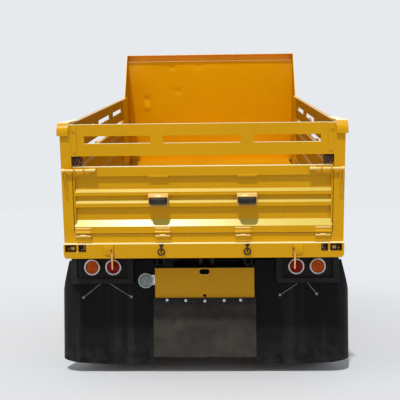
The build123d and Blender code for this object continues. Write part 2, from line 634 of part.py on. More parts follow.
def make_grille():
    grille = box((-640, 640), (CAB_FRONT, CAB_FRONT + 14), (1130, 1480))
    for i in range(5):
        z = 1160 + i * 62
        grille -= box((-600, 600), (CAB_FRONT + 4, CAB_FRONT + 20), (z, z + 36))
    put("grille", grille)


def make_mirrors():
    head = box((1120, 1236), (6150, 6200), (1760, 2160))
    head = fillet(head.edges().filter_by(Axis.Z), 18)
    arms = [box((CAB_HALF, 1150), (6165, 6185), (z, z + 20)) for z in (1800, 2100)]
    put("mirrors", both(fuse(head, *arms)))


def hinge_half(z, way):
    """Knuckle of a door hinge and its leaf, reaching rearward on the door or forward on the cab."""
    leaf_y = sorted((DOOR_FRONT + way * 2, DOOR_FRONT + way * 40))
    link_y = sorted((DOOR_FRONT + way * 2, DOOR_FRONT + way * 12))
    height = (z, z + HINGE_LONG)
    leaf = box((CAB_HALF, CAB_HALF + 4), leaf_y, height)
    link = box((CAB_HALF, DOOR_PIN_X), link_y, height)
    return fuse(leaf, link, rod_z(8, DOOR_PIN_X, DOOR_FRONT, height))


def make_doors():
    gap = DOOR_GAP
    for side, s in SIDES:
        x = (CAB_HALF - DOOR_T, CAB_HALF)
        door = box(x, (DOOR_REAR + gap, DOOR_FRONT - gap), (DOOR_LOW + gap, DOOR_HIGH - gap))
        window = [(DOOR_REAR + 80, BELT_Z), (DOOR_REAR + 80, WINDOW_TOP), (DOOR_FRONT - 110, WINDOW_TOP),
                  (DOOR_FRONT - 70, BELT_Z)]
        door -= side_profile(window, (x[0] - 5, x[1] + 5))
        pane = side_profile(window, (x[0] + 18, x[0] + 24))
        door = fuse(door, *[hinge_half(z, REARWARD) for z in HINGE_HEIGHTS])
        if s == LEFT:
            door, pane = mirror_x(door), mirror_x(pane)
        put(f"door_{side}", door)
        put(f"door_{side}_glass", pane)


def make_hoist():
    """Ram between its base pin on the chassis and the ears under the bed."""
    base_y, base_z = HOIST_BASE
    reach = (Vector(0, *EYE) - Vector(0, *HOIST_BASE)).length
    angle = Vector(0, 1, 0).get_angle(Vector(0, EYE[0] - base_y, EYE[1] - base_z))
    place = Pos(0, base_y, base_z) * Rot(angle, 0, 0)
    long_barrel = 1450
    barrel = rod_x(66, (-45, 45), 0, 0) + rod_y(BARREL_R, 0, (50, long_barrel), 0)
    barrel -= rod_y(BARREL_BORE, 0, (140, long_barrel - 70), 0)
    barrel -= rod_y(ROD_R + 0.5, 0, (140, long_barrel + 10), 0)
    barrel -= rod_x(40.5, (-60, 60), 0, 0)
    put("hoist_barrel", place * barrel)
    ram = rod_y(ROD_R, 0, (680, reach - 30), 0) + rod_x(48, (-44, 44), reach, 0)
    ram -= rod_x(25, (-60, 60), reach, 0)
    put("hoist_rod", place * ram)


make_bed_floor()
make_bed_bearers()
make_bed_cross_members()
make_bed_sides()
make_headboard()
make_headboard_frame()
make_tail_frame()
make_tail_rack()
make_tailgate()
make_buffers()
make_latches()
make_chassis_frame()
make_subframe()
make_tail_plates()
make_mud_flaps()
make_lamp_boxes()
make_tail_lamps()
make_rear_wheels()
make_front_wheels()
make_axles()
make_springs()
make_powertrain()
make_chassis_fittings()
make_front_end()
make_cab()
make_cab_inside()
make_grille()
make_mirrors()
make_doors()
make_hoist()

os.makedirs("parts", exist_ok=True)
for node, solids in PARTS.items():
    shape = Compound(children=[Pos(0, TAIL_Y, 0) * solid for solid in solids])
    export_step(shape, f"parts/{node}.step")
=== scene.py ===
# Looks of a six-wheel tipper lorry with its bed partly raised. Metres; +Y forward, +X right, +Z up.
import json
import math
import random

import bmesh
import bpy
from mathutils import Matrix, Vector


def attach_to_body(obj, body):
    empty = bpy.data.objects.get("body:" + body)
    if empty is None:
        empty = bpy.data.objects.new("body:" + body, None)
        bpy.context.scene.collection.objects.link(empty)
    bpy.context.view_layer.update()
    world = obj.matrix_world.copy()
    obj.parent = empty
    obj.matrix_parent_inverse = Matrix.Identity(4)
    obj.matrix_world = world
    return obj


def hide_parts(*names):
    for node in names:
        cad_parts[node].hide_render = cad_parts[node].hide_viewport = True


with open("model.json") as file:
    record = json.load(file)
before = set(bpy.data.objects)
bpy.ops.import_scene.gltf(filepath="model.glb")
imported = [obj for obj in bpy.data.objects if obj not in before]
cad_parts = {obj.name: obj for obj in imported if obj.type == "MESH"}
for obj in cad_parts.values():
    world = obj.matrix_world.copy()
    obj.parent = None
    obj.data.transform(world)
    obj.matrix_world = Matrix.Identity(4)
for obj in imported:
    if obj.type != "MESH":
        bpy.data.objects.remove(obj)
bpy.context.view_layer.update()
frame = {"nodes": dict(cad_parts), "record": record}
random.seed(11)

# Pieces are drawn with lengths from the tail, and LORRY_PLACE sets them in the frame. Those of the bed and
# gate are drawn level, with heights from the tail frame's ledge, and BED_PLACE tips them as well.
TAIL_Y, LEDGE_Z = -3.153, 1.153
LORRY_PLACE = Matrix.Translation((0, TAIL_Y, 0))
BED_PLACE = Matrix.Translation((0, TAIL_Y, LEDGE_Z)) @ Matrix.Rotation(math.radians(11.2), 4, "X")
LEFT, RIGHT = -1, 1
SIDES = ((LEFT, "left"), (RIGHT, "right"))
REARWARD, FORWARD = Vector((0, -1, 0)), Vector((0, 1, 0))
UP, DOWN, ACROSS = Vector((0, 0, 1)), Vector((0, 0, -1)), Vector((1, 0, 0))
MIRROR = Matrix.Scale(-1, 4, ACROSS)

# Camera, as solved from the photograph's 400-pixel frame
FOCAL_PX, FRAME_PX, SENSOR_MM = 775, 400, 36
EYE = Vector((0.1745, -9.559, 1.445))
YAW, PITCH, ROLL = 0.0309, 0.00905, 0.0081


def make_camera():
    ahead = Vector((-math.sin(YAW) * math.cos(PITCH), math.cos(YAW) * math.cos(PITCH), math.sin(PITCH)))
    level_right = Vector((math.cos(YAW), math.sin(YAW), 0))
    right = level_right * math.cos(ROLL) - level_right.cross(ahead) * math.sin(ROLL)
    lens = bpy.data.cameras.new("camera")
    lens.sensor_width = SENSOR_MM
    lens.lens = SENSOR_MM * FOCAL_PX / FRAME_PX
    camera = bpy.data.objects.new("camera", lens)
    bpy.context.scene.collection.objects.link(camera)
    turn = Matrix((right, right.cross(ahead), -ahead)).transposed().to_4x4()
    camera.matrix_world = Matrix.Translation(EYE) @ turn
    bpy.context.scene.camera = camera


def sun(name, azimuth, height, strength, angle):
    """Lamp shining from that bearing, measured from behind the lorry towards its right."""
    lamp = bpy.data.lights.new(name, "SUN")
    lamp.energy = strength
    lamp.angle = math.radians(angle)
    stand = bpy.data.objects.new(name, lamp)
    bpy.context.scene.collection.objects.link(stand)
    a, h = math.radians(azimuth), math.radians(height)
    source = Vector((math.sin(a) * math.cos(h), -math.cos(a) * math.cos(h), math.sin(h)))
    stand.rotation_mode = "QUATERNION"
    stand.rotation_quaternion = source.to_track_quat("Z", "Y")


# shader nodes; an output knows the tree it belongs to
def feed(socket, value):
    """Join a socket to another node's output, or set it."""
    if isinstance(value, bpy.types.NodeSocket):
        socket.id_data.links.new(value, socket)
    else:
        socket.default_value = (*value, 1) if socket.type == "RGBA" else value


def new_node(tree, kind, inputs=(), output=0, **settings):
    """A node with its settings, and its inputs in order or by name; gives back one of its outputs."""
    made = tree.nodes.new("ShaderNode" + kind)
    for name, value in settings.items():
        setattr(made, name, value)
    for socket, value in inputs.items() if isinstance(inputs, dict) else enumerate(inputs):
        feed(made.inputs[socket], value)
    return made.outputs[output]


def spread(value, low, high, first=0.0, last=1.0):
    """Value from low to high drawn out between first and last."""
    return new_node(value.id_data, "MapRange", (value, low, high, first, last))


def times(first, second):
    return new_node(first.id_data, "Math", (first, second), operation="MULTIPLY")


def either(first, second):
    return new_node(first.id_data, "Math", (first, second), operation="MAXIMUM")


def laid_over(amount, under, over):
    """Colour laid over another by an amount from 0 to 1."""
    return new_node(amount.id_data, "Mix", {0: amount, 6: under, 7: over}, 2, data_type="RGBA")


def patches(tree, size, low=0.4, high=0.6, stretch=(1, 1, 1), detail=4, seed=0.0):
    """Soft patches from 0 to 1 of about that size; a stretch below 1 draws them out along its axis."""
    place = {"Vector": new_node(tree, "TexCoord", output="Object"),
             "Location": (seed, seed * 0.7, seed * 1.3), "Scale": stretch}
    noise = {"Vector": new_node(tree, "Mapping", place), "Scale": 1 / size, "Detail": detail, "Roughness": 0.6}
    return spread(new_node(tree, "TexNoise", noise, "Fac"), low, high)


def spot_along(tree, axis):
    return new_node(tree, "SeparateXYZ", (new_node(tree, "TexCoord", output="Object"),), axis)


def normal_along(tree, axis):
    return new_node(tree, "SeparateXYZ", (new_node(tree, "NewGeometry", output="Normal"),), axis)


def height_share(tree, low, high):
    """1 at height low and under, 0 at high and over."""
    return spread(spot_along(tree, "Z"), low, high, 1, 0)


def facing_up(tree, low=0.3, high=0.95):
    """1 where a surface faces up."""
    return spread(normal_along(tree, "Z"), low, high)


def facing_in(tree):
    """1 where a surface faces the lorry's middle line."""
    return spread(times(spot_along(tree, "X"), normal_along(tree, "X")), -0.2, -0.6)


def edge_share(tree):
    """1 on the rounded edges that softened() marks, less on the slopes that it marks."""
    return new_node(tree, "Attribute", output="Fac", attribute_name="edge")


def raised(shader, height, depth, strength=1.0, under=None):
    """Bump of that depth in metres; under is the output of a coarser one below it."""
    inputs = {"Strength": strength, "Distance": depth, "Height": height}
    if under:
        inputs["Normal"] = under
    bump = new_node(height.id_data, "Bump", inputs)
    feed(shader.inputs["Normal"], bump)
    return bump


def start_finish(name, colour, roughness, **sockets):
    """New finish: its tree and its shader, with constants on the shader's own sockets."""
    finish = bpy.data.materials.new(name)
    finish.use_nodes = True
    shader = finish.node_tree.nodes["Principled BSDF"]
    for words, value in {"base_color": colour, "roughness": roughness, **sockets}.items():
        feed(shader.inputs[words.replace("_", " ").title().replace("Ior", "IOR")], value)
    return finish.node_tree, shader


def skin(shader, colour, roughness=None):
    feed(shader.inputs["Base Color"], colour)
    if roughness:
        feed(shader.inputs["Roughness"], roughness)


# daylight and floor
BACKDROP, SKY, SKY_STRENGTH = (0.80, 0.82, 0.85), (0.90, 0.95, 1.0), 0.63
FLOOR_LIT, FLOOR_SEEN = (0.50, 0.49, 0.47), (0.59, 0.595, 0.605)


def sees_backdrop(tree):
    """1 for rays from the camera, from mirror-like surfaces and through glass."""
    path = tree.nodes.new("ShaderNodeLightPath").outputs
    return either(either(path["Is Camera Ray"], path["Is Glossy Ray"]), path["Is Transmission Ray"])


def make_studio():
    scene = bpy.context.scene
    scene.view_settings.view_transform = "Standard"
    sun("key", -10, 57, 2.8, 2.5)
    sun("side_fill", -80, 40, 0.28, 60)
    scene.world = bpy.data.worlds.new("studio")
    scene.world.use_nodes = True
    tree = scene.world.node_tree
    tree.nodes.clear()
    seen = new_node(tree, "Background", {"Color": BACKDROP})
    fill = new_node(tree, "Background", {"Color": SKY, "Strength": SKY_STRENGTH})
    mixed = new_node(tree, "MixShader", (sees_backdrop(tree), fill, seen))
    feed(tree.nodes.new("ShaderNodeOutputWorld").inputs[0], mixed)
    bpy.ops.object.select_all(action="DESELECT")
    bpy.ops.mesh.primitive_circle_add(vertices=96, radius=400, fill_type="NGON", location=(0, 0, 0))
    floor = bpy.context.object
    floor.name = "floor"
    tree, shader = start_finish("pale_floor", FLOOR_SEEN, 0.95, specular_ior_level=0)
    skin(shader, laid_over(sees_backdrop(tree), FLOOR_LIT, FLOOR_SEEN))
    floor.data.materials.append(bpy.data.materials["pale_floor"])


# finishes
DUST = (0.36, 0.30, 0.23)
PRIMER = (0.16, 0.045, 0.022)
# Painted highlight tones: a pale one for upward edges and ledges, a pale green-yellow for the gate's slopes
PALE_HIGHLIGHT = (0.86, 0.84, 0.48)
SLOPE_HIGHLIGHT = (0.47, 0.50, 0.12)
RUN_DOWN = (1, 1, 0.05)


def painted(name, colour, faded, roughness=0.38, coat=0.36, chips=0.68, dust=0.1, streaks=0.1, wear=0.8,
            shine=0.3, bare=PRIMER, edge_highlight=0.0, inside=None):
    """Gloss paint: faded patches, rain streaks, a painted highlight on upper edges and slopes, painted shade on
    inward faces if inside is given, chips, most of them on edges, and dust.
    """
    tree, shader = start_finish(
        name, colour, roughness, specular_ior_level=shine, specular_tint=[c / max(colour) for c in colour],
        coat_weight=coat, coat_roughness=0.24)
    tone = laid_over(patches(tree, 0.7, 0.35, 0.7), colour, faded)
    run = times(patches(tree, 0.05, 0.52, 0.8, RUN_DOWN), streaks)
    tone = laid_over(run, tone, [0.55 * c for c in faded])
    # Painted shade: faces turned towards the lorry's middle line are darkened to the inside colour
    if inside:
        tone = laid_over(facing_in(tree), tone, inside)
    # Painted highlight: marked edges, ledges and slopes that face up are lightened, the slopes towards a pale
    # green-yellow
    if edge_highlight:
        mark = edge_share(tree)
        upper = times(spread(mark, 0, 0.9), facing_up(tree, 0.1, 0.5))
        highlight_tone = laid_over(spread(mark, 0.6, 0.9), SLOPE_HIGHLIGHT, PALE_HIGHLIGHT)
        tone = laid_over(times(upper, edge_highlight), tone, highlight_tone)
    worn = times(edge_share(tree), patches(tree, 0.035, 0.56, 0.6, seed=5.3))
    worn = times(worn, facing_up(tree, 0.5, 0.1))
    chipped = either(patches(tree, 0.011, chips, chips + 0.02, seed=3.1), worn)
    tone = laid_over(times(chipped, wear), tone, bare)
    settled = times(facing_up(tree), patches(tree, 0.12, 0.35, 0.75))
    thrown = times(height_share(tree, 0.4, 1.25), patches(tree, 0.06, 0.3, 0.8, seed=7.7))
    dusty = times(either(settled, thrown), dust)
    skin(shader, laid_over(dusty, tone, DUST), spread(either(dusty, chipped), 0, 1, roughness, 0.75))
    waves = raised(shader, patches(tree, 0.30, 0, 1, detail=1), 0.0012, 0.5)
    raised(shader, patches(tree, 0.006, 0.2, 0.8, detail=2), 0.0002, 0.35, waves)


def plain_metal(name, colour, roughness, stain, metallic=1.0, grain=0.004):
    """Bare metal with stains and a fine grain."""
    tree, shader = start_finish(name, colour, roughness, metallic=metallic)
    dirty = patches(tree, 0.035, 0.5, 0.72)
    skin(shader, laid_over(times(dirty, 0.7), colour, stain),
         spread(dirty, 0, 1, roughness, min(1, roughness + 0.3)))
    raised(shader, patches(tree, grain, 0.2, 0.8), 0.0003, 0.4)


def rubbery(name, colour, worn, roughness, dust, grain=0.008):
    """Black rubber with grey wear, dust in patches and a moulded grain."""
    tree, shader = start_finish(name, colour, roughness, specular_ior_level=0.2)
    tone = laid_over(patches(tree, 0.16, 0.4, 0.75), colour, worn)
    dusty = times(patches(tree, 0.05, 0.42, 0.8, seed=2.2), dust)
    skin(shader, laid_over(dusty, tone, DUST), spread(dusty, 0, 0.5, roughness, 0.95))
    raised(shader, patches(tree, grain, 0.2, 0.8), 0.0006, 0.4)


def make_finishes():
    # Yellow paint carries the full painted highlight on its marked edges, ledges and slopes
    painted("yellow_paint", (0.628, 0.308, 0), (0.583, 0.29, 0), coat=0.29, dust=0.06, edge_highlight=1)
    # Side walls: a weaker painted highlight on upper edges, and painted shade on their inward faces
    painted("side_paint", (0.62, 0.3, 0), (0.575, 0.28, 0), coat=0.2, dust=0.03, edge_highlight=0.4,
            inside=(0.17, 0.07, 0))
    # Pale paint that stands in for a painted highlight on small sunlit parts
    painted("pale_highlight_paint", (0.86, 0.62, 0.2), (0.8, 0.55, 0.16), coat=0.5, streaks=0)
    # Paler paint that stands in for a painted highlight on small sunlit parts
    painted("peach_highlight_paint", (0.72, 0.43, 0.12), (0.66, 0.38, 0.09), coat=0.3, streaks=0)
    # Near-black paint for the inside of recesses: painted shade
    painted("recess_shade_paint", (0.085, 0.036, 0.004), (0.045, 0.016, 0.004), 0.6, 0)
    painted("orange_paint", (0.93, 0.43, 0), (0.87, 0.4, 0.001), dust=0.05, streaks=0.04)
    # Headboard cheeks: painted shade on their inward faces
    painted("cheek_paint", (0.93, 0.43, 0), (0.87, 0.4, 0.001), dust=0.05, inside=(0.4, 0.2, 0))
    painted("worn_yellow", (0.6, 0.28, 0), (0.5, 0.235, 0.002), 0.5, 0.05, 0.66, 0.03, 0.2)
    painted("primer_red", (0.17, 0.045, 0.022), (0.24, 0.08, 0.035), 0.6, 0)
    painted("white_paint", (0.67, 0.675, 0.66), (0.61, 0.615, 0.59), chips=0.72, streaks=0.15)
    painted("black_paint", (0.009, 0.009, 0.01), (0.016, 0.015, 0.015), 0.5, 0.03, dust=0.08, wear=0.3,
            shine=0.1, bare=(0.06, 0.06, 0.062))
    painted("silver_paint", (0.42, 0.42, 0.42), (0.33, 0.33, 0.32), 0.42, 0.1, dust=0.4)
    rubbery("tyre_rubber", (0.018, 0.018, 0.018), (0.035, 0.034, 0.033), 0.7, 0.35)
    rubbery("buffer_rubber", (0.014, 0.014, 0.012), (0.024, 0.023, 0.02), 0.5, 0.06, 0.004)
    plain_metal("cast_iron_dark", (0.03, 0.028, 0.027), 0.62, (0.07, 0.048, 0.032), 0.2, 0.01)
    plain_metal("dull_steel", (0.3, 0.29, 0.28), 0.45, (0.18, 0.15, 0.12), 0.8)
    plain_metal("lamp_rim", (0.56, 0.51, 0.48), 0.34, (0.4, 0.34, 0.3))
    plain_metal("chain_rust", (0.11, 0.045, 0.026), 0.55, (0.42, 0.24, 0.07), 0.4, 0.01)
    plain_metal("bright_metal", (0.66, 0.66, 0.67), 0.25, (0.35, 0.33, 0.3))
    plain_metal("tank_skin", (0.6, 0.61, 0.62), 0.3, (0.42, 0.41, 0.39))
    plain_metal("black_moulding", (0.022, 0.022, 0.023), 0.45, (0.045, 0.043, 0.04), 0, 0.003)
    make_flap_rubber()
    make_mat_rubber()
    make_lenses()
    make_cloth()


def make_flap_rubber():
    """Mud flap sheet: black, with paler streaks run down it and road dirt near its foot."""
    tree, shader = start_finish("flap_rubber", (0.006, 0.006, 0.007), 0.5, specular_ior_level=0.08)
    runs = patches(tree, 0.1, 0.48, 0.78, RUN_DOWN)
    tone = laid_over(times(runs, 0.5), (0.0055, 0.0055, 0.006), (0.035, 0.035, 0.037))
    low = times(height_share(tree, 0.1, 0.4), patches(tree, 0.09, 0.4, 0.8))
    skin(shader, laid_over(times(low, 0.06), tone, DUST), spread(runs, 0, 1, 0.5, 0.7))
    raised(shader, patches(tree, 0.12, 0, 1, (1, 1, 0.3), 2), 0.004, 0.4)


def make_mat_rubber():
    """The middle flap: worn grey-brown matting."""
    tree, shader = start_finish("mat_rubber", (0.05, 0.044, 0.036), 0.85, specular_ior_level=0.12)
    tone = laid_over(patches(tree, 0.16, 0.35, 0.7), (0.027, 0.024, 0.021), (0.05, 0.043, 0.036))
    speck = times(patches(tree, 0.012, 0.45, 0.7, seed=4), 0.15)
    skin(shader, laid_over(speck, tone, (0.1, 0.085, 0.07)))
    raised(shader, patches(tree, 0.006, 0.2, 0.8), 0.0008, 0.5)


def make_lenses():
    """Moulded lamp covers, red, amber, clear and pale, with their fine ribs, window glass and mirror glass."""
    for name, colour in (("red_lens", (0.3, 0.001, 0.004)), ("amber_lens", (0.6, 0.09, 0)),
                         ("clear_lens", (0.27, 0.335, 0.35)), ("pale_lens", (0.52, 0.58, 0.6))):
        tree, shader = start_finish(name, colour, 0.25, specular_ior_level=0.15, coat_weight=0.04,
                                    coat_roughness=0.05)
        skin(shader, laid_over(patches(tree, 0.03, 0.35, 0.7), colour, [0.7 * c for c in colour]))
        raised(shader, patches(tree, 0.004, 0.3, 0.7), 0.0004, 0.5)
    pane = (0.62, 0.7, 0.69)
    tree, shader = start_finish("window_glass", pane, 0.04, transmission_weight=0.92)
    skin(shader, laid_over(patches(tree, 0.25, 0.4, 0.7), pane, (0.56, 0.64, 0.63)),
         spread(patches(tree, 0.2, 0.5, 0.8), 0, 1, 0.03, 0.14))
    tree, shader = start_finish("mirror_face", (0.82, 0.84, 0.85), 0.04, metallic=1)
    feed(shader.inputs["Roughness"], spread(patches(tree, 0.05, 0.55, 0.8), 0, 1, 0.03, 0.2))


def make_cloth():
    """Seat cloth: a dark weave with a lighter thread in it."""
    tree, shader = start_finish("woven_cloth", (0.05, 0.055, 0.07), 0.9, sheen_weight=0.35)
    thread = {"Vector": new_node(tree, "TexCoord", output="Object"), "Scale": 90, "Distortion": 1.2}
    weave = times(*[new_node(tree, "TexWave", thread, "Fac", bands_direction=way) for way in ("X", "Z")])
    tone = laid_over(spread(weave, 0.2, 0.8), (0.03, 0.034, 0.046), (0.085, 0.09, 0.11))
    skin(shader, laid_over(times(patches(tree, 0.2, 0.4, 0.7), 0.3), tone, (0.12, 0.12, 0.13)))
    raised(shader, weave, 0.0008, 0.6)


# shaping
def only(*pieces):
    bpy.ops.object.select_all(action="DESELECT")
    for piece in pieces:
        piece.select_set(True)
    bpy.context.view_layer.objects.active = pieces[0]


def edit(piece, kind="FACE"):
    """Into edit mode with everything selected."""
    only(piece)
    bpy.ops.object.mode_set(mode="EDIT")
    bpy.ops.mesh.select_mode(type=kind)
    bpy.ops.mesh.select_all(action="SELECT")


def leave():
    bpy.ops.object.mode_set(mode="OBJECT")


def pick(test, kind="FACE"):
    """Select the faces or vertices that pass a test on their place and normal."""
    bpy.ops.mesh.select_mode(type=kind)
    bpy.ops.mesh.select_all(action="DESELECT")
    mesh = bpy.context.edit_object.data
    shape = bmesh.from_edit_mesh(mesh)
    for item in shape.faces if kind == "FACE" else shape.verts:
        spot = item.calc_center_median() if kind == "FACE" else item.co
        item.select_set(bool(test(spot, item.normal)))
    shape.select_flush_mode()
    bmesh.update_edit_mesh(mesh)


def merged(piece):
    """Doubles merged and faces turned outwards."""
    edit(piece)
    bpy.ops.mesh.remove_doubles(threshold=0.00002)
    bpy.ops.mesh.normals_make_consistent(inside=False)
    leave()
    return piece


def with_modifier(piece, kind, **settings):
    """Add a modifier and apply it."""
    only(piece)
    bpy.ops.object.modifier_add(type=kind)
    modifier = piece.modifiers[-1]
    for name, value in settings.items():
        setattr(modifier, name, value)
    bpy.ops.object.modifier_apply(modifier=modifier.name)
    return piece


def rounded(piece, width, segments=2, above=35, **settings):
    """Sharp edges rounded off by that width."""
    return with_modifier(piece, "BEVEL", width=width, segments=segments, limit_method="ANGLE",
                         angle_limit=math.radians(above), **settings)


def start_block(*pairs):
    """Sharp block between (low, high) pairs; stays in edit mode."""
    bpy.ops.mesh.primitive_cube_add(size=1, location=[(low + high) / 2 for low, high in pairs])
    piece = bpy.context.object
    piece.scale = [high - low for low, high in pairs]
    only(piece)
    bpy.ops.object.transform_apply(location=True, rotation=True, scale=True)
    edit(piece, "EDGE")
    return piece


def block(x, y, z, width=0.003, segments=2):
    """Block with rounded edges."""
    piece = start_block(x, y, z)
    bpy.ops.mesh.bevel(offset=width, segments=segments, affect="EDGES")
    leave()
    return piece


def drawn(points):
    """Chain of edges drawn from point to point; stays in edit mode."""
    bpy.ops.mesh.primitive_plane_add(size=0.01)
    piece = bpy.context.object
    edit(piece, "VERT")
    bpy.ops.mesh.merge(type="CENTER")
    bpy.ops.transform.translate(value=points[0])
    for start, end in zip(points, points[1:]):
        step = Vector(end) - Vector(start)
        bpy.ops.mesh.extrude_vertices_move(TRANSFORM_OT_translate={"value": step})
    bpy.ops.mesh.select_all(action="SELECT")
    return piece


def turned(profile, steps=40):
    """Round piece spun about Z from a profile of (radius, height)."""
    piece = drawn([(radius, 0, height) for radius, height in profile])
    bpy.ops.mesh.spin(steps=steps, angle=2 * math.pi, center=(0, 0, 0), axis=(0, 0, 1))
    leave()
    return merged(piece)


def tube(inner, outer, long, steps=40, cut=0.0):
    """Tube about Z with its outer ends cut back."""
    return turned([(inner, 0), (outer, cut), (outer, long - cut), (inner, long), (inner, 0)], steps)


def cut_plate(points, thick, width=0.002):
    """Plate of that thickness up from Z = 0, cut to an outline of (x, y) points."""
    piece = drawn([(x, y, 0) for x, y in points])
    bpy.ops.mesh.edge_face_add()
    bpy.ops.mesh.select_all(action="SELECT")
    bpy.ops.mesh.extrude_region_move(TRANSFORM_OT_translate={"value": (0, 0, thick)})
    leave()
    merged(piece)
    return rounded(piece, width) if width else piece


def bent_bar(points, radius, sides=2):
    """Round bar bent through points."""
    piece = drawn(points)
    leave()
    only(piece)
    bpy.ops.object.convert(target="CURVE")
    piece = bpy.context.object
    piece.data.bevel_depth = radius
    piece.data.bevel_resolution = sides
    piece.data.use_fill_caps = True
    bpy.ops.object.convert(target="MESH")
    return merged(bpy.context.object)


def round_ring(radius, thick, steps, sides):
    bpy.ops.mesh.primitive_torus_add(major_radius=radius, minor_radius=thick, major_segments=steps,
                                     minor_segments=sides)
    return bpy.context.object


def moved(piece, place):
    piece.data.transform(place)
    if place.determinant() < 0:
        merged(piece)
    return piece


def twin(piece, place):
    """Copy with its own mesh, at another place."""
    other = piece.copy()
    other.data = piece.data.copy()
    bpy.context.scene.collection.objects.link(other)
    return moved(other, place)


def joined(*pieces):
    only(*pieces)
    if len(pieces) > 1:
        bpy.ops.object.join()
    return bpy.context.object


def repeated(piece, places):
    """The piece at each of these places, as one."""
    copies = [twin(piece, place) for place in places[1:]]
    return joined(moved(piece, places[0]), *copies)


def at(x, y, z, facing=UP):
    """Place whose own Z looks along facing, with its Y as far up as that lets it."""
    look = Vector(facing).to_track_quat("Z", "Y").to_matrix().to_4x4()
    return Matrix.Translation((x, y, z)) @ look


def turn(degrees, axis):
    return Matrix.Rotation(math.radians(degrees), 4, axis)


def between(side, low, high):
    """Pair of places across the lorry, low and high counted out from its middle on that side."""
    return sorted((side * low, side * high))


def about(middle, half):
    return middle - half, middle + half


# Finishes under each slot, the usual one first
FINISHES = {
    "paint_yellow": ("yellow_paint", "pale_highlight_paint", "peach_highlight_paint", "recess_shade_paint", "primer_red"),
    "paint_orange": ("orange_paint",), "cab_white": ("white_paint",), "chassis_black": ("black_paint",),
    "rim_silver": ("silver_paint",), "tyre": ("tyre_rubber",), "rubber": ("flap_rubber", "buffer_rubber"),
    "cast_iron": ("cast_iron_dark", "chain_rust"), "bright_steel": ("bright_metal", "dull_steel", "lamp_rim"),
    "lamp_lens": ("red_lens", "amber_lens"), "head_lens": ("clear_lens", "pale_lens"),
    "glass": ("window_glass", "mirror_face"), "black_plastic": ("black_moulding",),
    "tank_alloy": ("tank_skin",), "seat_cloth": ("woven_cloth",),
}


def finished(piece, body, finish, stands_for=(), smooth=35):
    """Given its finish and tied to its body."""
    only(piece)
    bpy.ops.object.shade_smooth_by_angle(angle=math.radians(smooth))
    piece.data.materials.clear()
    piece.data.materials.append(bpy.data.materials[finish])
    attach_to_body(piece, body)
    if stands_for:
        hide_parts(*stands_for)
    return piece


def fitted(name, body, finish, *pieces, both=False, place=Matrix(), slot=None, stands_for=(), smooth=35):
    """Pieces made one, with their mirror image if both, set in place, finished and tied to their body."""
    piece = joined(*pieces)
    if both:
        joined(piece, twin(piece, MIRROR))
    piece.name = name
    moved(piece, (BED_PLACE if body in ("bed", "gate") else LORRY_PLACE) @ place)
    return finished(piece, body, finish, stands_for, smooth)


def copy_of(node, name):
    """A CAD node's mesh in a new piece, merged and with its flat faces made whole."""
    piece = bpy.data.objects.new(name, frame["nodes"][node].data.copy())
    bpy.context.scene.collection.objects.link(piece)
    piece.data.materials.clear()
    edit(piece, "EDGE")
    bpy.ops.mesh.customdata_custom_splitnormals_clear()
    bpy.ops.mesh.remove_doubles(threshold=0.00005)
    bpy.ops.mesh.dissolve_limited(angle_limit=math.radians(0.5))
    leave()
    return piece


BODY_OF = {node: body for body, nodes in frame["record"]["behaviour"]["bodies"].items() for node in nodes}
SLOT_OF = {part["node"]: part["material_slot"] for part in frame["record"]["subparts"]}
# Nodes whose finish differs from the rest of their slot
NODE_FINISH = {"centre_flap": "mat_rubber", "bed_floor": "worn_yellow", "bed_sides": "side_paint",
               "headboard_frame": "cheek_paint"}
# Nodes whose narrow upper ledges get the painted highlight as their edges do
LEDGE_NODES = ("tail_frame", "tail_rack", "tailgate")
# The gate's pressed slopes get a painted highlight, the lowest one more than the others
LOWEST_SLOPE_TOP = LEDGE_Z + 0.24
# Sheet-metal and cast nodes kept at their CAD shape, with how far their edges are rounded
SOFT_EDGES = {
    "bed_floor": 0.002, "bed_bearers": 0.004, "bed_cross_members": 0.003, "bed_sides": 0.004,
    "headboard_frame": 0.004, "headboard_ribs": 0.004, "tail_frame": 0.005, "tail_rack": 0.005,
    "tailgate": 0.005, "chassis_rails": 0.003, "chassis_cross_members": 0.004, "subframe": 0.004,
    "guard_plate": 0.002, "lamp_boxes": 0.004, "springs": 0.002, "driveline": 0.006,
    "front_bumper": 0.006, "front_mudguards": 0.002, "cab_shell": 0.006, "dashboard": 0.012,
    "grille": 0.003, "mirrors": 0.004, "door_left": 0.005, "door_right": 0.005, "knuckle_left": 0.004,
    "knuckle_right": 0.004, "front_axle": 0.008, "rear_axle": 0.006, "fuel_tank": 0.003,
    "battery_box": 0.006, "hoist_barrel": 0.003, "engine_block": 0.02, "centre_flap": 0.002,
}


def finish_of(node):
    return NODE_FINISH.get(node) or FINISHES[SLOT_OF[node]][0]


def softened(node, width):
    """A CAD node with its edges rounded, and those edges and the gate's slopes marked for wear and for painted
    highlights.
    """
    piece = copy_of(node, node + "_dressed")
    face_mark, edge_mark = bpy.data.materials.new("face_mark"), bpy.data.materials.new("edge_mark")
    piece.data.materials.append(face_mark)
    piece.data.materials.append(edge_mark)
    rounded(piece, width, above=32, material=1, use_clamp_overlap=True)
    mark = piece.data.attributes.new("edge", "FLOAT", "FACE")
    for face, value in zip(piece.data.polygons, mark.data):
        # Mark 1 on bevel faces and upward ledges: chips and the full painted highlight; the gate's slopes get
        # less, as a painted highlight
        if face.material_index == 1 or node in LEDGE_NODES and face.normal.z > 0.9:
            value.value = 1
        elif node == "tailgate" and face.normal.z > 0.35:
            value.value = 0.6 if face.center.z < LOWEST_SLOPE_TOP else 0.5
        face.material_index = 0
    finished(piece, BODY_OF[node], finish_of(node), (node,), 50)
    bpy.data.materials.remove(edge_mark)
    bpy.data.materials.remove(face_mark)
    with_modifier(piece, "WEIGHTED_NORMAL", keep_sharp=True)


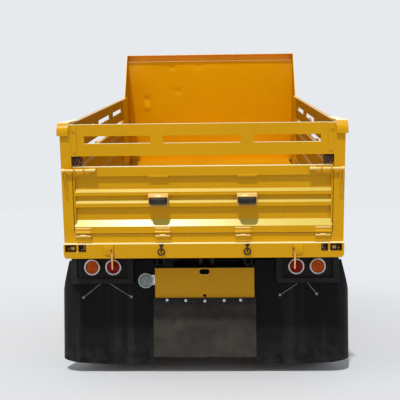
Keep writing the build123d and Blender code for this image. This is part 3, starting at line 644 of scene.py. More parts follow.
# wheels
AXLE_Z, BEAD_R = 0.509, 0.262
REAR_AXLE, FRONT_AXLE = 1.120, 5.220
TWIN_OUT, TWIN_IN, FRONT_TRACK = 1.035, 0.745, 0.960
# Pitches round the tread, and one of them in radians
TREAD_PITCHES, TREAD_PITCH = 54, 0.116
HAND_HOLES, HUB_BOLTS, WHEEL_NUTS, NUT_CIRCLE = 8, 8, 8, 0.1425


def make_tyre():
    """Tyre about Z: ribbed walls spun round, and one pitch of tread blocks copied round the tread."""
    wall = [(BEAD_R, 0.088), (0.264, 0.097), (0.275, 0.104), (0.29, 0.114), (0.306, 0.122), (0.33, 0.127),
            (0.334, 0.129), (0.34, 0.129), (0.344, 0.1275), (0.362, 0.129), (0.392, 0.1293), (0.424, 0.129),
            (0.44, 0.1262), (0.444, 0.1275), (0.45, 0.1272), (0.454, 0.1235), (0.482, 0.1155),
            (0.494, 0.106), (0.4965, 0.098)]
    inner = [(0.478, 0.092), (0.455, 0.106), (0.4, 0.112), (0.33, 0.108), (0.285, 0.092), (BEAD_R, 0.078)]
    half = [(r, -across) for r, across in wall]
    lining = inner[::-1] + [(r, -across) for r, across in inner]
    carcass = turned(half + wall[::-1] + lining + half[:1], 80)
    blocks = []
    for across, width, start, length in ((0.084, 0.036, 0, 0.042), (0.041, 0.034, 0.5, 0.046),
                                         (0, 0.03, 0, 0.048)):
        for side in ((LEFT, RIGHT) if across else (RIGHT,)):
            lug = block(about(side * across, width / 2), about(0, length / 2), (0.49, 0.5084), 0.003, 1)
            blocks.append(moved(lug, Matrix.Rotation(start * side * TREAD_PITCH, 4, "X")))
    lugs = moved(joined(*blocks), turn(90, "Y"))
    tread = repeated(lugs, [turn(360 / TREAD_PITCHES * i, "Z") for i in range(TREAD_PITCHES)])
    return joined(carcass, tread)


def make_wheel(mount, attach):
    """Steel wheel about Z: rim barrel, dished disc with hand holes; mount and attach are disc heights."""
    flange = [(0.2585, 0.1), (0.263, 0.108), (0.269, 0.111), (0.2725, 0.107), (0.271, 0.101),
              (0.262, 0.0965), (0.254, 0.08), (0.25, 0.03)]
    outside = flange + [(r, -z) for r, z in reversed(flange)]
    inside = [(0.25, -0.101), (0.243, -0.088), (0.24, -0.07), (0.24, -0.01 + min(attach, 0))]
    step, rise = 0.008, attach - mount
    dish = [(0.236, attach - step), (0.222, attach - step), (0.207, attach - 0.14 * rise - step),
            (0.192, attach - 0.55 * rise - step), (0.181, mount + 0.06 * rise - step),
            (0.172, mount - step / 2), (0.062, mount - step / 2)]
    face = [(r, z + step) for r, z in reversed(dish)]
    barrel = [(0.24, attach + 0.01), (0.24, 0.07), (0.244, 0.089), (0.25, 0.101)]
    wheel = turned(outside + inside + dish + face + barrel + outside[:1], 64)
    holes = []
    for i in range(HAND_HOLES):
        a = (i + 0.5) * 2 * math.pi / HAND_HOLES
        bpy.ops.mesh.primitive_cylinder_add(vertices=20, radius=0.027, depth=0.16)
        spot = (0.2 * math.cos(a), 0.2 * math.sin(a), (mount + attach) / 2)
        holes.append(moved(bpy.context.object, Matrix.Translation(spot)))
    cutter = joined(*holes)
    with_modifier(wheel, "BOOLEAN", object=cutter, operation="DIFFERENCE", solver="EXACT")
    bpy.data.objects.remove(cutter)
    return merged(wheel)


def make_nuts(count, circle, height, size=0.016):
    """Ring of hexagon nuts on studs, standing up from Z = height."""
    nut = turned([(0, 0.026), (0.009, 0.026), (0.01, 0.024), (0.01, 0.018), (size * 0.86, 0.018),
                  (size, 0.015), (size, 0.004), (size * 1.35, 0.004), (size * 1.35, 0), (0, 0)], 6)
    spot = Matrix.Translation((circle, 0, height))
    return repeated(nut, [turn(360 * i / count, "Z") @ spot for i in range(count)])


def make_hub(tip, root, radius):
    """Hub about Z from height root up to its bolted cap at tip."""
    cap = [(0, 0), (0.5, 0), (0.56, 0.004), (0.6, 0.016), (0.84, 0.02), (0.88, 0.024), (0.88, 0.034),
           (0.8, 0.038)]
    foot = [(0.78, 0.06), (0.9, 0.02), (1, 0.012), (1, 0), (0, 0)]
    profile = [(radius * share, tip - down) for share, down in cap]
    profile += [(radius * share, root + up) for share, up in foot]
    return joined(turned(profile, 40), make_nuts(HUB_BOLTS, radius * 0.72, tip - 0.02, 0.007))


def make_wheels():
    tyre, rear_rim, front_rim = make_tyre(), make_wheel(-0.127, -0.052), make_wheel(0.056, 0.02)
    for side, words in SIDES:
        out = turn(side * 90, "Y")
        outer = Matrix.Translation((side * TWIN_OUT, REAR_AXLE, AXLE_Z)) @ out
        inner = Matrix.Translation((side * TWIN_IN, REAR_AXLE, AXLE_Z)) @ out @ turn(180, "X")
        front = Matrix.Translation((side * FRONT_TRACK, FRONT_AXLE, AXLE_Z)) @ out
        body = f"rear_wheels_{words}"
        fitted(f"rear_treads_{words}", body, "tyre_rubber", twin(tyre, outer), twin(tyre, inner),
               stands_for=[f"rear_tyres_{words}"])
        fitted(f"rear_wheel_discs_{words}", body, "silver_paint", twin(rear_rim, outer), twin(rear_rim, inner),
               stands_for=[f"rear_rims_{words}"])
        fitted(f"rear_hub_{words}", body, "cast_iron_dark", make_hub(0.045, -0.15, 0.118),
               make_nuts(WHEEL_NUTS, NUT_CIRCLE, -0.119), place=outer, slot="rim_silver")
        body = f"front_wheel_{words}"
        fitted(f"front_tread_{words}", body, "tyre_rubber", twin(tyre, front),
               stands_for=[f"front_tyre_{words}"])
        fitted(f"front_wheel_disc_{words}", body, "silver_paint", twin(front_rim, front),
               stands_for=[f"front_rim_{words}"])
        fitted(f"front_hub_{words}", body, "cast_iron_dark", make_hub(0.09, 0.042, 0.095),
               make_nuts(WHEEL_NUTS, NUT_CIRCLE, 0.064), place=front, slot="rim_silver")
    for spare in (tyre, rear_rim, front_rim):
        bpy.data.objects.remove(spare)


# lamps
LAMP_Z, LAMP_FACE = 0.926, 0.370
RED_X, AMBER_X = 0.795, 0.980


def make_tail_lamps():
    """Round lamps in bright rims: amber outside, red inside, and the clear reversing lamp on its arm."""
    rim = turned([(0.052, 0), (0.052, 0.034), (0.0545, 0.042), (0.058, 0.0465), (0.064, 0.0475),
                  (0.069, 0.044), (0.071, 0.037), (0.071, 0.012), (0.066, 0.006), (0.06, 0), (0.052, 0)], 48)
    ribs, full = [], 0.0515
    for i in range(12):
        r = full - i * 0.0043
        crown = 0.037 + 0.006 * (1 - (r / full) ** 2)
        ribs += [(r, crown - 0.0006), (r - 0.0021, crown + 0.0009)]
    lens = turned([(full, 0), *ribs, (0, 0.0436), (0, 0)], 48)
    spots = [at(side * x, LAMP_FACE, LAMP_Z, REARWARD) for side in (LEFT, RIGHT) for x in (RED_X, AMBER_X)]
    fitted("lamp_rims", "chassis", "lamp_rim", repeated(rim, spots), stands_for=("tail_lamps",))
    for words, pair in (("amber", spots[1::2]), ("red", spots[::2])):
        fitted(f"{words}_lenses", "chassis", f"{words}_lens", *[twin(lens, spot) for spot in pair])
    bpy.data.objects.remove(lens)
    shell = turned([(0.055, 0), (0.055, 0.03), (0.0585, 0.036), (0.064, 0.0365), (0.069, 0.033),
                    (0.071, 0.026), (0.071, 0.012), (0.066, 0.004), (0.055, 0)], 48)
    cover = turned([(0, 0), (0.053, 0), (0.053, 0.03), (0.05, 0.036), (0.046, 0.0385),
                    (0.0435, 0.0375), (0.041, 0.0395), (0.0385, 0.0385), (0.036, 0.041),
                    (0.026, 0.0425), (0.02, 0.0418), (0.01, 0.043), (0, 0.043)], 48)
    fitted("reversing_lamp_foot", "chassis", "bright_metal",
           block((-0.45, -0.424), (0.36, 0.366), (0.776, 0.836), 0.002),
           block((-0.492, -0.432), (0.366, 0.37), (0.766, 0.854), 0.0015))
    boss = turned([(0, 0.047), (0.008, 0.047), (0.011, 0.045), (0.011, 0.041), (0, 0.041)], 16)
    clear = at(-0.515, 0.378, 0.806, REARWARD) @ Matrix.Scale(0.94, 4)
    fitted("reversing_lamp_shell", "chassis", "pale_lens", shell, place=clear)
    fitted("reversing_lens", "chassis", "clear_lens", cover, place=clear)
    fitted("reversing_lamp_screw", "chassis", "dull_steel", boss, place=clear)


def make_head_lamps():
    """Moulded lamp panels in the bumper, each with a round lamp, a dipped one and an indicator."""
    face = 6.500
    panels, lenses, ambers = [], [], []
    for side in (LEFT, RIGHT):
        panels.append(block(between(side, 0.76, 1.01), (face, face + 0.007), (0.56, 0.74), 0.003, 3))
        for offset, size in ((-0.062, 0.052), (0.04, 0.042)):
            bezel = turned([(size * 0.8, 0), (size * 0.8, 0.003), (size, 0.0135), (size * 1.06, 0.0125),
                            (size * 1.08, 0), (size * 0.8, 0)], 40)
            cover = turned([(0, 0.0135), (size * 0.4, 0.0128), (size * 0.8, 0.0095),
                            (size * 0.8, 0.002), (0, 0.002)], 40)
            centre = at(side * 0.885 + offset * side, face, 0.655, FORWARD)
            panels.append(moved(bezel, centre))
            lenses.append(moved(cover, centre))
        ambers.append(block(between(side, 0.775, 0.995), (face + 0.006, face + 0.0138), (0.572, 0.592), 0.002))
    fitted("headlamp_panels", "chassis", "black_moulding", *panels, stands_for=("headlamps",))
    fitted("headlamp_lenses", "chassis", "pale_lens", *lenses)
    fitted("front_indicators", "chassis", "amber_lens", *ambers)


# cab inside
SEAT_FLOOR = 1.150
SEATS = (("driver", 0.350, 0.850), ("mate", -0.850, -0.050))


def crowned_pad(x, y, z, crown=0.022, channels=()):
    """Stuffed pad: a cage that pulls in at its corners and swells between them, then smoothed."""
    pad = start_block(x, y, z)
    bpy.ops.mesh.subdivide(number_cuts=7)
    leave()
    middle = [(a + b) / 2 for a, b in (x, y, z)]
    half = [(b - a) / 2 for a, b in (x, y, z)]
    thin = half.index(min(half))
    for vertex in pad.data.vertices:
        share = [(vertex.co[i] - middle[i]) / half[i] for i in range(3)]
        wide = [i for i in range(3) if i != thin]
        swell = math.prod(math.sqrt(max(1 - share[i] ** 2, 0)) for i in wide)
        if abs(share[thin]) > 0.99:
            vertex.co[thin] += math.copysign(crown * (swell - 1), share[thin])
        for i in wide:
            if abs(share[i]) > 0.99:
                vertex.co[i] -= math.copysign(crown * 0.7 * share[thin] ** 2, share[i])
        for centre in channels:
            if share[thin] > 0.9:
                vertex.co[thin] -= 0.012 * max(0, 1 - abs(vertex.co[0] - centre) / 0.03)
    return with_modifier(pad, "SUBSURF", levels=1, render_levels=1)


def make_seats():
    """Sprung seats: stuffed cushion with sewn channels, stuffed back, and a boxed base with its lever."""
    floor = SEAT_FLOOR
    pivot = Matrix.Translation((0, 5.17, floor + 0.27))
    for words, low, high in SEATS:
        cushion = crowned_pad((low, high), (5.235, 5.73), (floor + 0.155, floor + 0.29), 0.022,
                              (low + 0.13, high - 0.13))
        cushion = fitted(f"{words}_cushion", "cab", "woven_cloth", cushion, smooth=60)
        back = crowned_pad((low + 0.01, high - 0.01), (5.065, 5.185), (floor + 0.265, floor + 0.88), 0.02)
        back = fitted(f"{words}_backrest", "cab", "woven_cloth", back, smooth=60,
                      place=pivot @ turn(8, "X") @ pivot.inverted())
        base = block((low + 0.06, high - 0.06), (5.25, 5.67), (floor, floor + 0.15), 0.008, 3)
        lever = bent_bar([(high - 0.06, 5.52, floor + 0.1), (high - 0.015, 5.54, floor + 0.11),
                          (high - 0.012, 5.62, floor + 0.125)], 0.006)
        fitted(f"{words}_seat_base", "cab", "black_moulding", base, lever, stands_for=("seats",))


def make_steering_wheel():
    """Two-spoked wheel with a moulded hub on its column."""
    rim = round_ring(0.205, 0.0095, 56, 12)
    hub = turned([(0, 0.026), (0.025, 0.025), (0.042, 0.019), (0.048, 0.008), (0.046, -0.022),
                  (0.03, -0.03), (0.028, -0.23), (0, -0.23)], 32)
    spokes = [block(x, y, (-0.007, 0.005), 0.005, 3)
              for x, y in (((-0.202, 0.202), (-0.019, 0.013)), ((-0.016, 0.016), (-0.202, -0.02)))]
    stalk = bent_bar([(0.02, 0.01, -0.05), (0.12, 0.03, -0.06), (0.17, 0.04, -0.05)], 0.005)
    fitted("steering_wheel_dressed", "cab", "black_moulding", rim, hub, *spokes, stalk,
           place=Matrix.Translation((0.6, 5.93, 1.56)) @ turn(32, "X"), stands_for=("steering_wheel",))


# chassis fittings
def make_air_tanks():
    """Two pressed air tanks with domed ends, seam rings, straps and drain cocks on two carriers."""
    long, tanks_x = 0.800, (0.560, 0.800)
    dome = [(0, 0), (0.045, 0.003), (0.08, 0.014), (0.101, 0.034), (0.108, 0.056), (0.108, 0.068),
            (0.11, 0.07), (0.11, 0.086), (0.108, 0.088)]
    shell = turned(dome + [(r, long - z) for r, z in reversed(dome)], 40)
    strap = tube(0.1085, 0.11, 0.028)
    cock = turned([(0, 0.012), (0.009, 0.012), (0.011, 0.008), (0.011, -0.01), (0, -0.01)], 6)
    carriers = [block((0.425, 0.92), (y, y + 0.05), (0.745, 0.79), 0.004) for y in (2.3, 2.75)]
    fitted("air_tanks_dressed", "chassis", "black_paint",
           repeated(shell, [at(x, 2.15, 0.64, FORWARD) for x in tanks_x]),
           repeated(strap, [at(x, y, 0.64, FORWARD) for x in tanks_x for y in (2.311, 2.761)]),
           repeated(cock, [at(x, 2.4, 0.534, DOWN) for x in tanks_x]), *carriers, stands_for=("air_tanks",))


def make_exhaust():
    """Silencer with rolled ends and ribs, its pipe, clamps and hangers."""
    x, long = 0.640, 0.700
    end = [(0.036, 0.01), (0.118, 0.01), (0.1215, 0), (0.1285, 0), (0.13, 0.008), (0.1265, 0.014)]
    ribs = []
    for z in (0.14, 0.34, 0.54):
        ribs += [(0.1265, z), (0.13, z + 0.006), (0.13, z + 0.016), (0.1265, z + 0.022)]
    can = turned(end + ribs + [(r, long - z) for r, z in reversed(end)], 48)
    pipe = tube(0.034, 0.038, 0.86, 32)
    clamp = tube(0.0375, 0.043, 0.022, 32)
    hangers = [block((0.425, 0.7), (y, y + 0.04), (0.76, 0.8), 0.004) for y in (4, 4.25)]
    fitted("exhaust_dressed", "chassis", "cast_iron_dark", moved(can, at(x, 3.78, 0.64, FORWARD)),
           moved(pipe, at(x, 3.7, 0.6, FORWARD)),
           repeated(clamp, [at(x, y, 0.6, FORWARD) for y in (3.745, 4.495)]), *hangers, stands_for=("exhaust",))


# tailgate and tail frame
HINGE_LEAVES = (-0.988, -0.332, 0.328, 0.982)
LEAF_PLACES = [Matrix.Translation((x, 0, 0)) for x in HINGE_LEAVES]
HINGE_PIN = (-0.016, 0.092)
SILL_FACE = -0.050
BUFFERS = (-0.362, 0.362)
SILL_HOLES = ((-1.139, -1.046), (-1.029, -0.967), (0.967, 1.021), (1.039, 1.135))


def make_bolt(size):
    """Hexagon bolt head with its washer, about Z."""
    return turned([(0, size), (size * 0.8, size), (size, size * 0.85), (size, size * 0.3),
                   (size * 1.5, size * 0.3), (size * 1.5, 0), (0, 0)], 6)


def make_round_head(size):
    """Round bolt head on a washer, about Z."""
    return turned([(0, size), (size * 0.4, size * 0.93), (size * 0.75, size * 0.7),
                   (size * 0.9, size * 0.35), (size * 1.5, size * 0.3), (size * 1.5, 0), (0, 0)], 20)


def make_latches():
    """Sliding bolt in its sleeve and staples, with a bent hairpin handle, at each corner of the gate."""
    v, w, start, end = -0.024, 0.613, 0.884, 1.146
    long = end - start
    bolt = turned([(0, 0), (0.008, 0), (0.01, 0.002), (0.01, long - 0.002), (0.008, long), (0, long)], 24)
    sleeve = turned([(0.0105, 0), (0.0135, 0.001), (0.0135, 0.012), (0.0115, 0.014), (0.0115, 0.036),
                     (0.0135, 0.038), (0.0135, 0.049), (0.0105, 0.05), (0.0105, 0)], 24)
    collar = tube(0.0095, 0.015, 0.027, 24, 0.001)
    foot = block((0.864, 0.922), (-0.013, 0.002), (0.594, 0.632), 0.002)
    staples = [block((x, x + 0.016), (v - 0.012, 0.002), about(w, 0.014), 0.006, 3) for x in (0.955, 1.034)]
    fitted("latch_seats", "gate", "yellow_paint", foot, *staples, both=True)
    hairpin = [(1.14, v - 0.004, 0.6), (1.137, v - 0.006, 0.555), (1.13, v - 0.008, 0.47),
               (1.126, v - 0.008, 0.446), (1.12, v - 0.008, 0.44), (1.114, v - 0.008, 0.447),
               (1.111, v - 0.008, 0.475), (1.115, v - 0.006, 0.545), (1.123, v - 0.004, 0.6)]
    fitted("gate_handles", "gate", "yellow_paint", bent_bar(hairpin, 0.0038), both=True)
    rod = [moved(piece, at(x, v, w, ACROSS)) for piece, x in ((bolt, start), (sleeve, 0.868), (collar, 1.118))]
    # The bolt, sleeve and collar are in pale paint: a painted highlight
    fitted("gate_latches", "gate", "pale_highlight_paint", *rod, both=True, stands_for=("tailgate_latches",))


def make_gate_hinges():
    """Three knuckles and two pin heads on each hinge, standing just proud of the plain barrel."""
    knuckle = tube(0.011, 0.013, 0.037, 24, 0.001)
    head = turned([(0, 0.007), (0.006, 0.007), (0.009, 0.004), (0.009, 0), (0, 0)], 20)
    places = [at(x + shift, *HINGE_PIN, ACROSS) for x in HINGE_LEAVES for shift in (-0.06, -0.0185, 0.023)]
    heads = [at(x + way * 0.062, *HINGE_PIN, (way, 0, 0)) for x in HINGE_LEAVES for way in (LEFT, RIGHT)]
    fitted("gate_hinge_knuckles", "gate", "yellow_paint", repeated(knuckle, places), repeated(head, heads))


def make_hinge_lips():
    """Folded upper lip of each hinge's fixed leaf with its middle knuckle, and the top edge of its strap."""
    lip = block((-0.062, 0.062), (-0.026, -0.008), (0.057, 0.069), 0.004, 3)
    knuckle = turned([(0, 0), (0.009, 0), (0.01, 0.001), (0.01, 0.049), (0.009, 0.05), (0, 0.05)], 24)
    moved(knuckle, at(-0.025, -0.017, 0.066, ACROSS))
    # The lips and the strap tops are in pale paint: a painted highlight
    fitted("hinge_lips", "bed", "pale_highlight_paint", repeated(joined(lip, knuckle), LEAF_PLACES))
    top = block((-0.062, 0.062), (-0.022, -0.011), (0.121, 0.13), 0.003)
    fitted("strap_tops", "gate", "pale_highlight_paint", repeated(top, LEAF_PLACES))


def hollowed(tray, deep):
    """The tray's rear face pushed in, which leaves a thin rim round it."""
    edit(tray)
    pick(lambda spot, normal: normal.y < -0.9)
    bpy.ops.mesh.inset(thickness=0.004, depth=0)
    bpy.ops.mesh.extrude_region_move(TRANSFORM_OT_translate={"value": (0, deep, 0)})
    leave()
    return tray


def make_buffers():
    """Rubber stops in their sheet-metal trays, and the small lug over each one."""
    trays, rubbers, lugs = [], [], []
    half, deep = 0.073, 0.034
    plan = [(half, -0.016), (-half, -0.016)]
    for middle, start in ((-half + deep, 180), (half - deep, 270)):
        angles = [math.radians(start + 15 * i) for i in range(7)]
        plan += [(middle + deep * math.cos(a), -0.086 + deep + deep * math.sin(a)) for a in angles]
    for x in BUFFERS:
        tray = block(about(x, 0.081), (-0.03, -0.0135), (0.309, 0.392), 0.0015)
        hood = cut_plate([(-0.0135, 0.411), (-0.0135, 0.386), (-0.034, 0.386)], 0.164, 0.0015)
        trays += [hollowed(tray, 0.012), moved(hood, at(x - 0.082, 0, 0, ACROSS))]
        rubber = rounded(cut_plate(plan, 0.046, 0), 0.007, 4)
        rubbers.append(moved(rubber, Matrix.Translation((x, 0, 0.336))))
        lugs.append(block(about(x, 0.082), (-0.003, 0.02), (0.546, 0.566), 0.003))
    # Trays and hoods in peach paint: a painted highlight
    fitted("buffer_trays", "gate", "peach_highlight_paint", *trays)
    fitted("buffer_rubbers", "gate", "buffer_rubber", *rubbers, stands_for=("tailgate_buffers",))
    fitted("gate_lugs", "gate", "yellow_paint", *lugs)


def make_rack_bolts():
    spots = [(side * x, w) for side in (LEFT, RIGHT) for x, w in ((1.045, 0.932), (1.041, 0.76))]
    bolts = repeated(make_bolt(0.0085), [at(x, 0.002, w, REARWARD) for x, w in spots])
    fitted("rack_bolts", "bed", "yellow_paint", bolts)


def make_corner_chains():
    """Short strands of chain hung from a bracket in the gap under each end of the rack, with a black plate
    behind them as painted shade.
    """
    link = round_ring(0.0105, 0.0038, 14, 6)
    edit(link)
    pick(lambda spot, normal: spot.y > 0.0001, "VERT")
    bpy.ops.transform.translate(value=(0, 0.012, 0))
    leave()
    places = []
    for strand in range(5):
        x, v = 1.05 - strand * 0.0125, 0.02 + 0.012 * (strand % 2)
        for i in range(3):
            twist = 90 * (i % 2) + random.uniform(-25, 25)
            drop = Matrix.Translation((x + random.uniform(-0.003, 0.003), v, 0.7125 - i * 0.0225))
            places.append(drop @ turn(random.uniform(-14, 14), "Y") @ turn(twist, "Z") @ turn(-90, "X"))
    fitted("corner_chains", "bed", "chain_rust", repeated(link, places), both=True)
    outline = [(0.984, 0.642), (1.066, 0.642), (1.066, 0.722), (0.996, 0.722), (0.984, 0.71)]
    plate = cut_plate(outline, 0.004)
    hook = block((0.992, 1.062), (0.01, 0.046), (0.716, 0.722), 0.002)
    # The black plate stands in for the shade in the gap behind the chains
    fitted("chain_brackets_and_shade_plates", "bed", "black_paint", moved(plate, at(0, 0.05, 0, REARWARD)), hook, both=True)


def make_sill_recesses():
    """Folded trays inside the sill's end holes, painted dark as painted shade, each with what is bolted in it.
    """
    trays, plates, strips, beads = [], [], [], []
    for low, high in SILL_HOLES:
        tray = block((low - 0.001, high + 0.001), (SILL_FACE - 0.0015, -0.01), (-0.064, -0.002), 0.0008, 1)
        trays.append(hollowed(tray, 0.034))
        middle, side = (low + high) / 2, math.copysign(1, low)
        if abs(middle) > 1.05:
            plates.append(block(about(middle - side * 0.014, 0.019), (-0.03, -0.014), (-0.054, -0.024),
                                0.007, 3))
            plates.append(moved(make_bolt(0.006), at(middle + side * 0.024, -0.016, -0.048, REARWARD)))
            beads.append(at(middle - side * 0.054, SILL_FACE, -0.066, REARWARD))
        else:
            bend = ((-0.006, -0.014), (-0.016, -0.022), (-0.016, -0.044), (0.01, -0.05))
            strips.append(bent_bar([(middle + side * x, -0.03, w) for x, w in bend], 0.003))
    # Trays in near-black paint: painted shade in the holes
    fitted("sill_trays", "bed", "recess_shade_paint", *trays)
    # Plates in peach paint: a painted highlight in the holes
    fitted("sill_tray_plates", "bed", "peach_highlight_paint", *plates)
    fitted("sill_tray_strips", "bed", "lamp_rim", *strips, slot="cast_iron")
    # The studs are in pale paint: a painted glint
    fitted("sill_studs", "bed", "pale_highlight_paint", repeated(make_round_head(0.0045), beads))


def make_sill_tabs():
    """Round-cornered tab, pin, hanging stay bar and joint cover at each end of the sill's middle length."""
    curve = [math.radians(18 * i) for i in range(1, 6)]
    outline = [(0.737, -0.005), (0.737, -0.092), (0.79, -0.092),
               *[(0.79 + 0.028 * math.sin(a), -0.064 - 0.028 * math.cos(a)) for a in curve], (0.818, -0.005)]
    tab = moved(cut_plate(outline, 0.008), at(0, SILL_FACE, 0, REARWARD))
    bead = block((0.7335, 0.7375), (SILL_FACE - 0.002, SILL_FACE + 0.003), (-0.116, -0.003), 0.001)
    fitted("sill_tabs", "bed", "yellow_paint", tab, both=True)
    fitted("sill_joints", "bed", "primer_red", bead, both=True)
    pin = turned([(0, 0.012), (0.006, 0.012), (0.008, 0.009), (0.008, 0), (0, 0)], 16)
    pins = [at(x, SILL_FACE - 0.008, w, REARWARD) for x, w in ((-0.757, -0.047), (0.74, -0.041))]
    fitted("sill_pins", "bed", "primer_red", repeated(pin, pins), slot="cast_iron")
    bar = block((0.746, 0.758), (SILL_FACE - 0.014, SILL_FACE - 0.007), (-0.214, -0.078), 0.002, 3)
    # Stay bars in peach paint: a painted highlight
    fitted("hanging_bars", "bed", "peach_highlight_paint", bar, both=True)


def make_sill_hooks():
    """Bent hooks on the sill, each carrying a loose ring."""
    parts = []
    bend = ((0.003, -0.006), (0.012, -0.018), (0.012, -0.044), (0.015, -0.055), (0.023, -0.057), (0.028, -0.046))
    for x in (-0.343, 0.363):
        parts.append(block(about(x, 0.017), (SILL_FACE - 0.005, SILL_FACE), (-0.016, 0), 0.0015))
        parts.append(bent_bar([(x, SILL_FACE - out, w) for out, w in bend], 0.0066, 3))
        hung = Matrix.Translation((x, SILL_FACE - 0.019, -0.0635)) @ turn(84, "X")
        parts.append(moved(round_ring(0.026, 0.0052, 36, 10), hung))
    fitted("sill_hooks", "bed", "black_paint", *parts, slot="cast_iron")


# plates and flaps behind the rear wheels
STAYS = ((-0.917, 0.777, -1.065, 0.658), (-0.828, 0.776, -0.644, 0.662),
         (0.807, 0.773, 0.656, 0.673), (0.901, 0.772, 0.975, 0.681))


def make_tail_plates():
    """Clamp strip and its bright bolts over the middle flap."""
    strip = block((-0.447, 0.447), (0.3245, 0.332), (0.599, 0.657), 0.002)
    fitted("flap_strip", "chassis", "black_paint", strip)
    spots = ((-0.326, 0.639), (-0.164, 0.634), (0.001, 0.629), (0.169, 0.633), (0.312, 0.636))
    bolts = repeated(make_round_head(0.0078), [at(x, 0.3245, z, REARWARD) for x, z in spots])
    fitted("flap_bolts", "chassis", "bright_metal", bolts)


def make_flap_stays():
    """Thin steel stays from the lamp boxes to a bolt through each mud flap."""
    y = 0.374
    bars = [bent_bar([(x, y, z + 0.03), (x, y, z), (foot_x, y, foot_z)], 0.0027)
            for x, z, foot_x, foot_z in STAYS]
    heads = repeated(make_round_head(0.0075), [at(x, 0.38, z, REARWARD) for *_, x, z in STAYS])
    fitted("flap_stays", "chassis", "dull_steel", *bars, heads)


# Dents in the headboard sheet: across, height up the bed, radius and depth
DENTS = ((-0.868, 0.93, 0.04, 0.011), (-0.866, 0.812, 0.036, -0.009), (-0.436, 1.035, 0.036, 0.009),
         (-0.512, 1.362, 0.04, 0.01), (-0.16, 1.385, 0.05, 0.008), (-0.6, 1.1, 0.2, 0.004),
         (0.1, 1.25, 0.3, -0.004), (0.7, 1.05, 0.25, 0.004), (0.35, 0.7, 0.3, 0.005), (-0.6, 0.6, 0.25, -0.005))


def make_headboard():
    """The leaning sheet, cut into a fine grid and buckled a little by loads, and the bead along its top."""
    sheet = moved(copy_of("headboard", "headboard_sheet"), BED_PLACE.inverted())
    edit(sheet)
    bpy.ops.mesh.quads_convert_to_tris()
    bpy.ops.mesh.tris_convert_to_quads()
    leave()
    half, foot, top = 1.10, 0.14, 1.43
    for axis, count, low, high in ((ACROSS, 140, -half, half), (UP, 82, foot, top)):
        edit(sheet, "VERT")
        for i in range(1, count):
            bpy.ops.mesh.select_all(action="SELECT")
            bpy.ops.mesh.bisect(plane_co=axis * (low + (high - low) * i / count), plane_no=axis)
        leave()
    for vertex in sheet.data.vertices:
        x, w = vertex.co.x, vertex.co.z
        edge = max(0, min(1, (half - abs(x)) / 0.12)) * max(0, min(1, (top - w) / 0.1, (w - foot) / 0.2))
        push = sum(depth * math.exp(-((x - a) ** 2 + (w - b) ** 2) / radius ** 2)
                   for a, b, radius, depth in DENTS)
        vertex.co.y += edge * (push + 0.0015 * math.sin(x * 7.3) * math.sin(w * 5.1 + 1))
    fitted("headboard_sheet", "bed", "orange_paint", sheet, stands_for=("headboard",))
    bead = block((-1.104, 1.104), (4.35, 4.36), (1.427, 1.437), 0.003, 3)
    # The bead is in peach paint: a painted highlight along the sheet's top
    fitted("headboard_bead", "bed", "peach_highlight_paint", bead, slot="paint_orange")


# cab and chassis dressing
CAB_HALF, CREASES_Z = 1.090, (1.290, 1.590)
# Windscreen: where its slope crosses a height, and how far it falls back for each metre up
SCREEN_FOOT, SCREEN_LEAN = (6.420, 1.640), 0.28235


def on_screen(x, z, proud):
    """Spot on the sloping windscreen."""
    return x, SCREEN_FOOT[0] - SCREEN_LEAN * (z - SCREEN_FOOT[1]) + proud, z


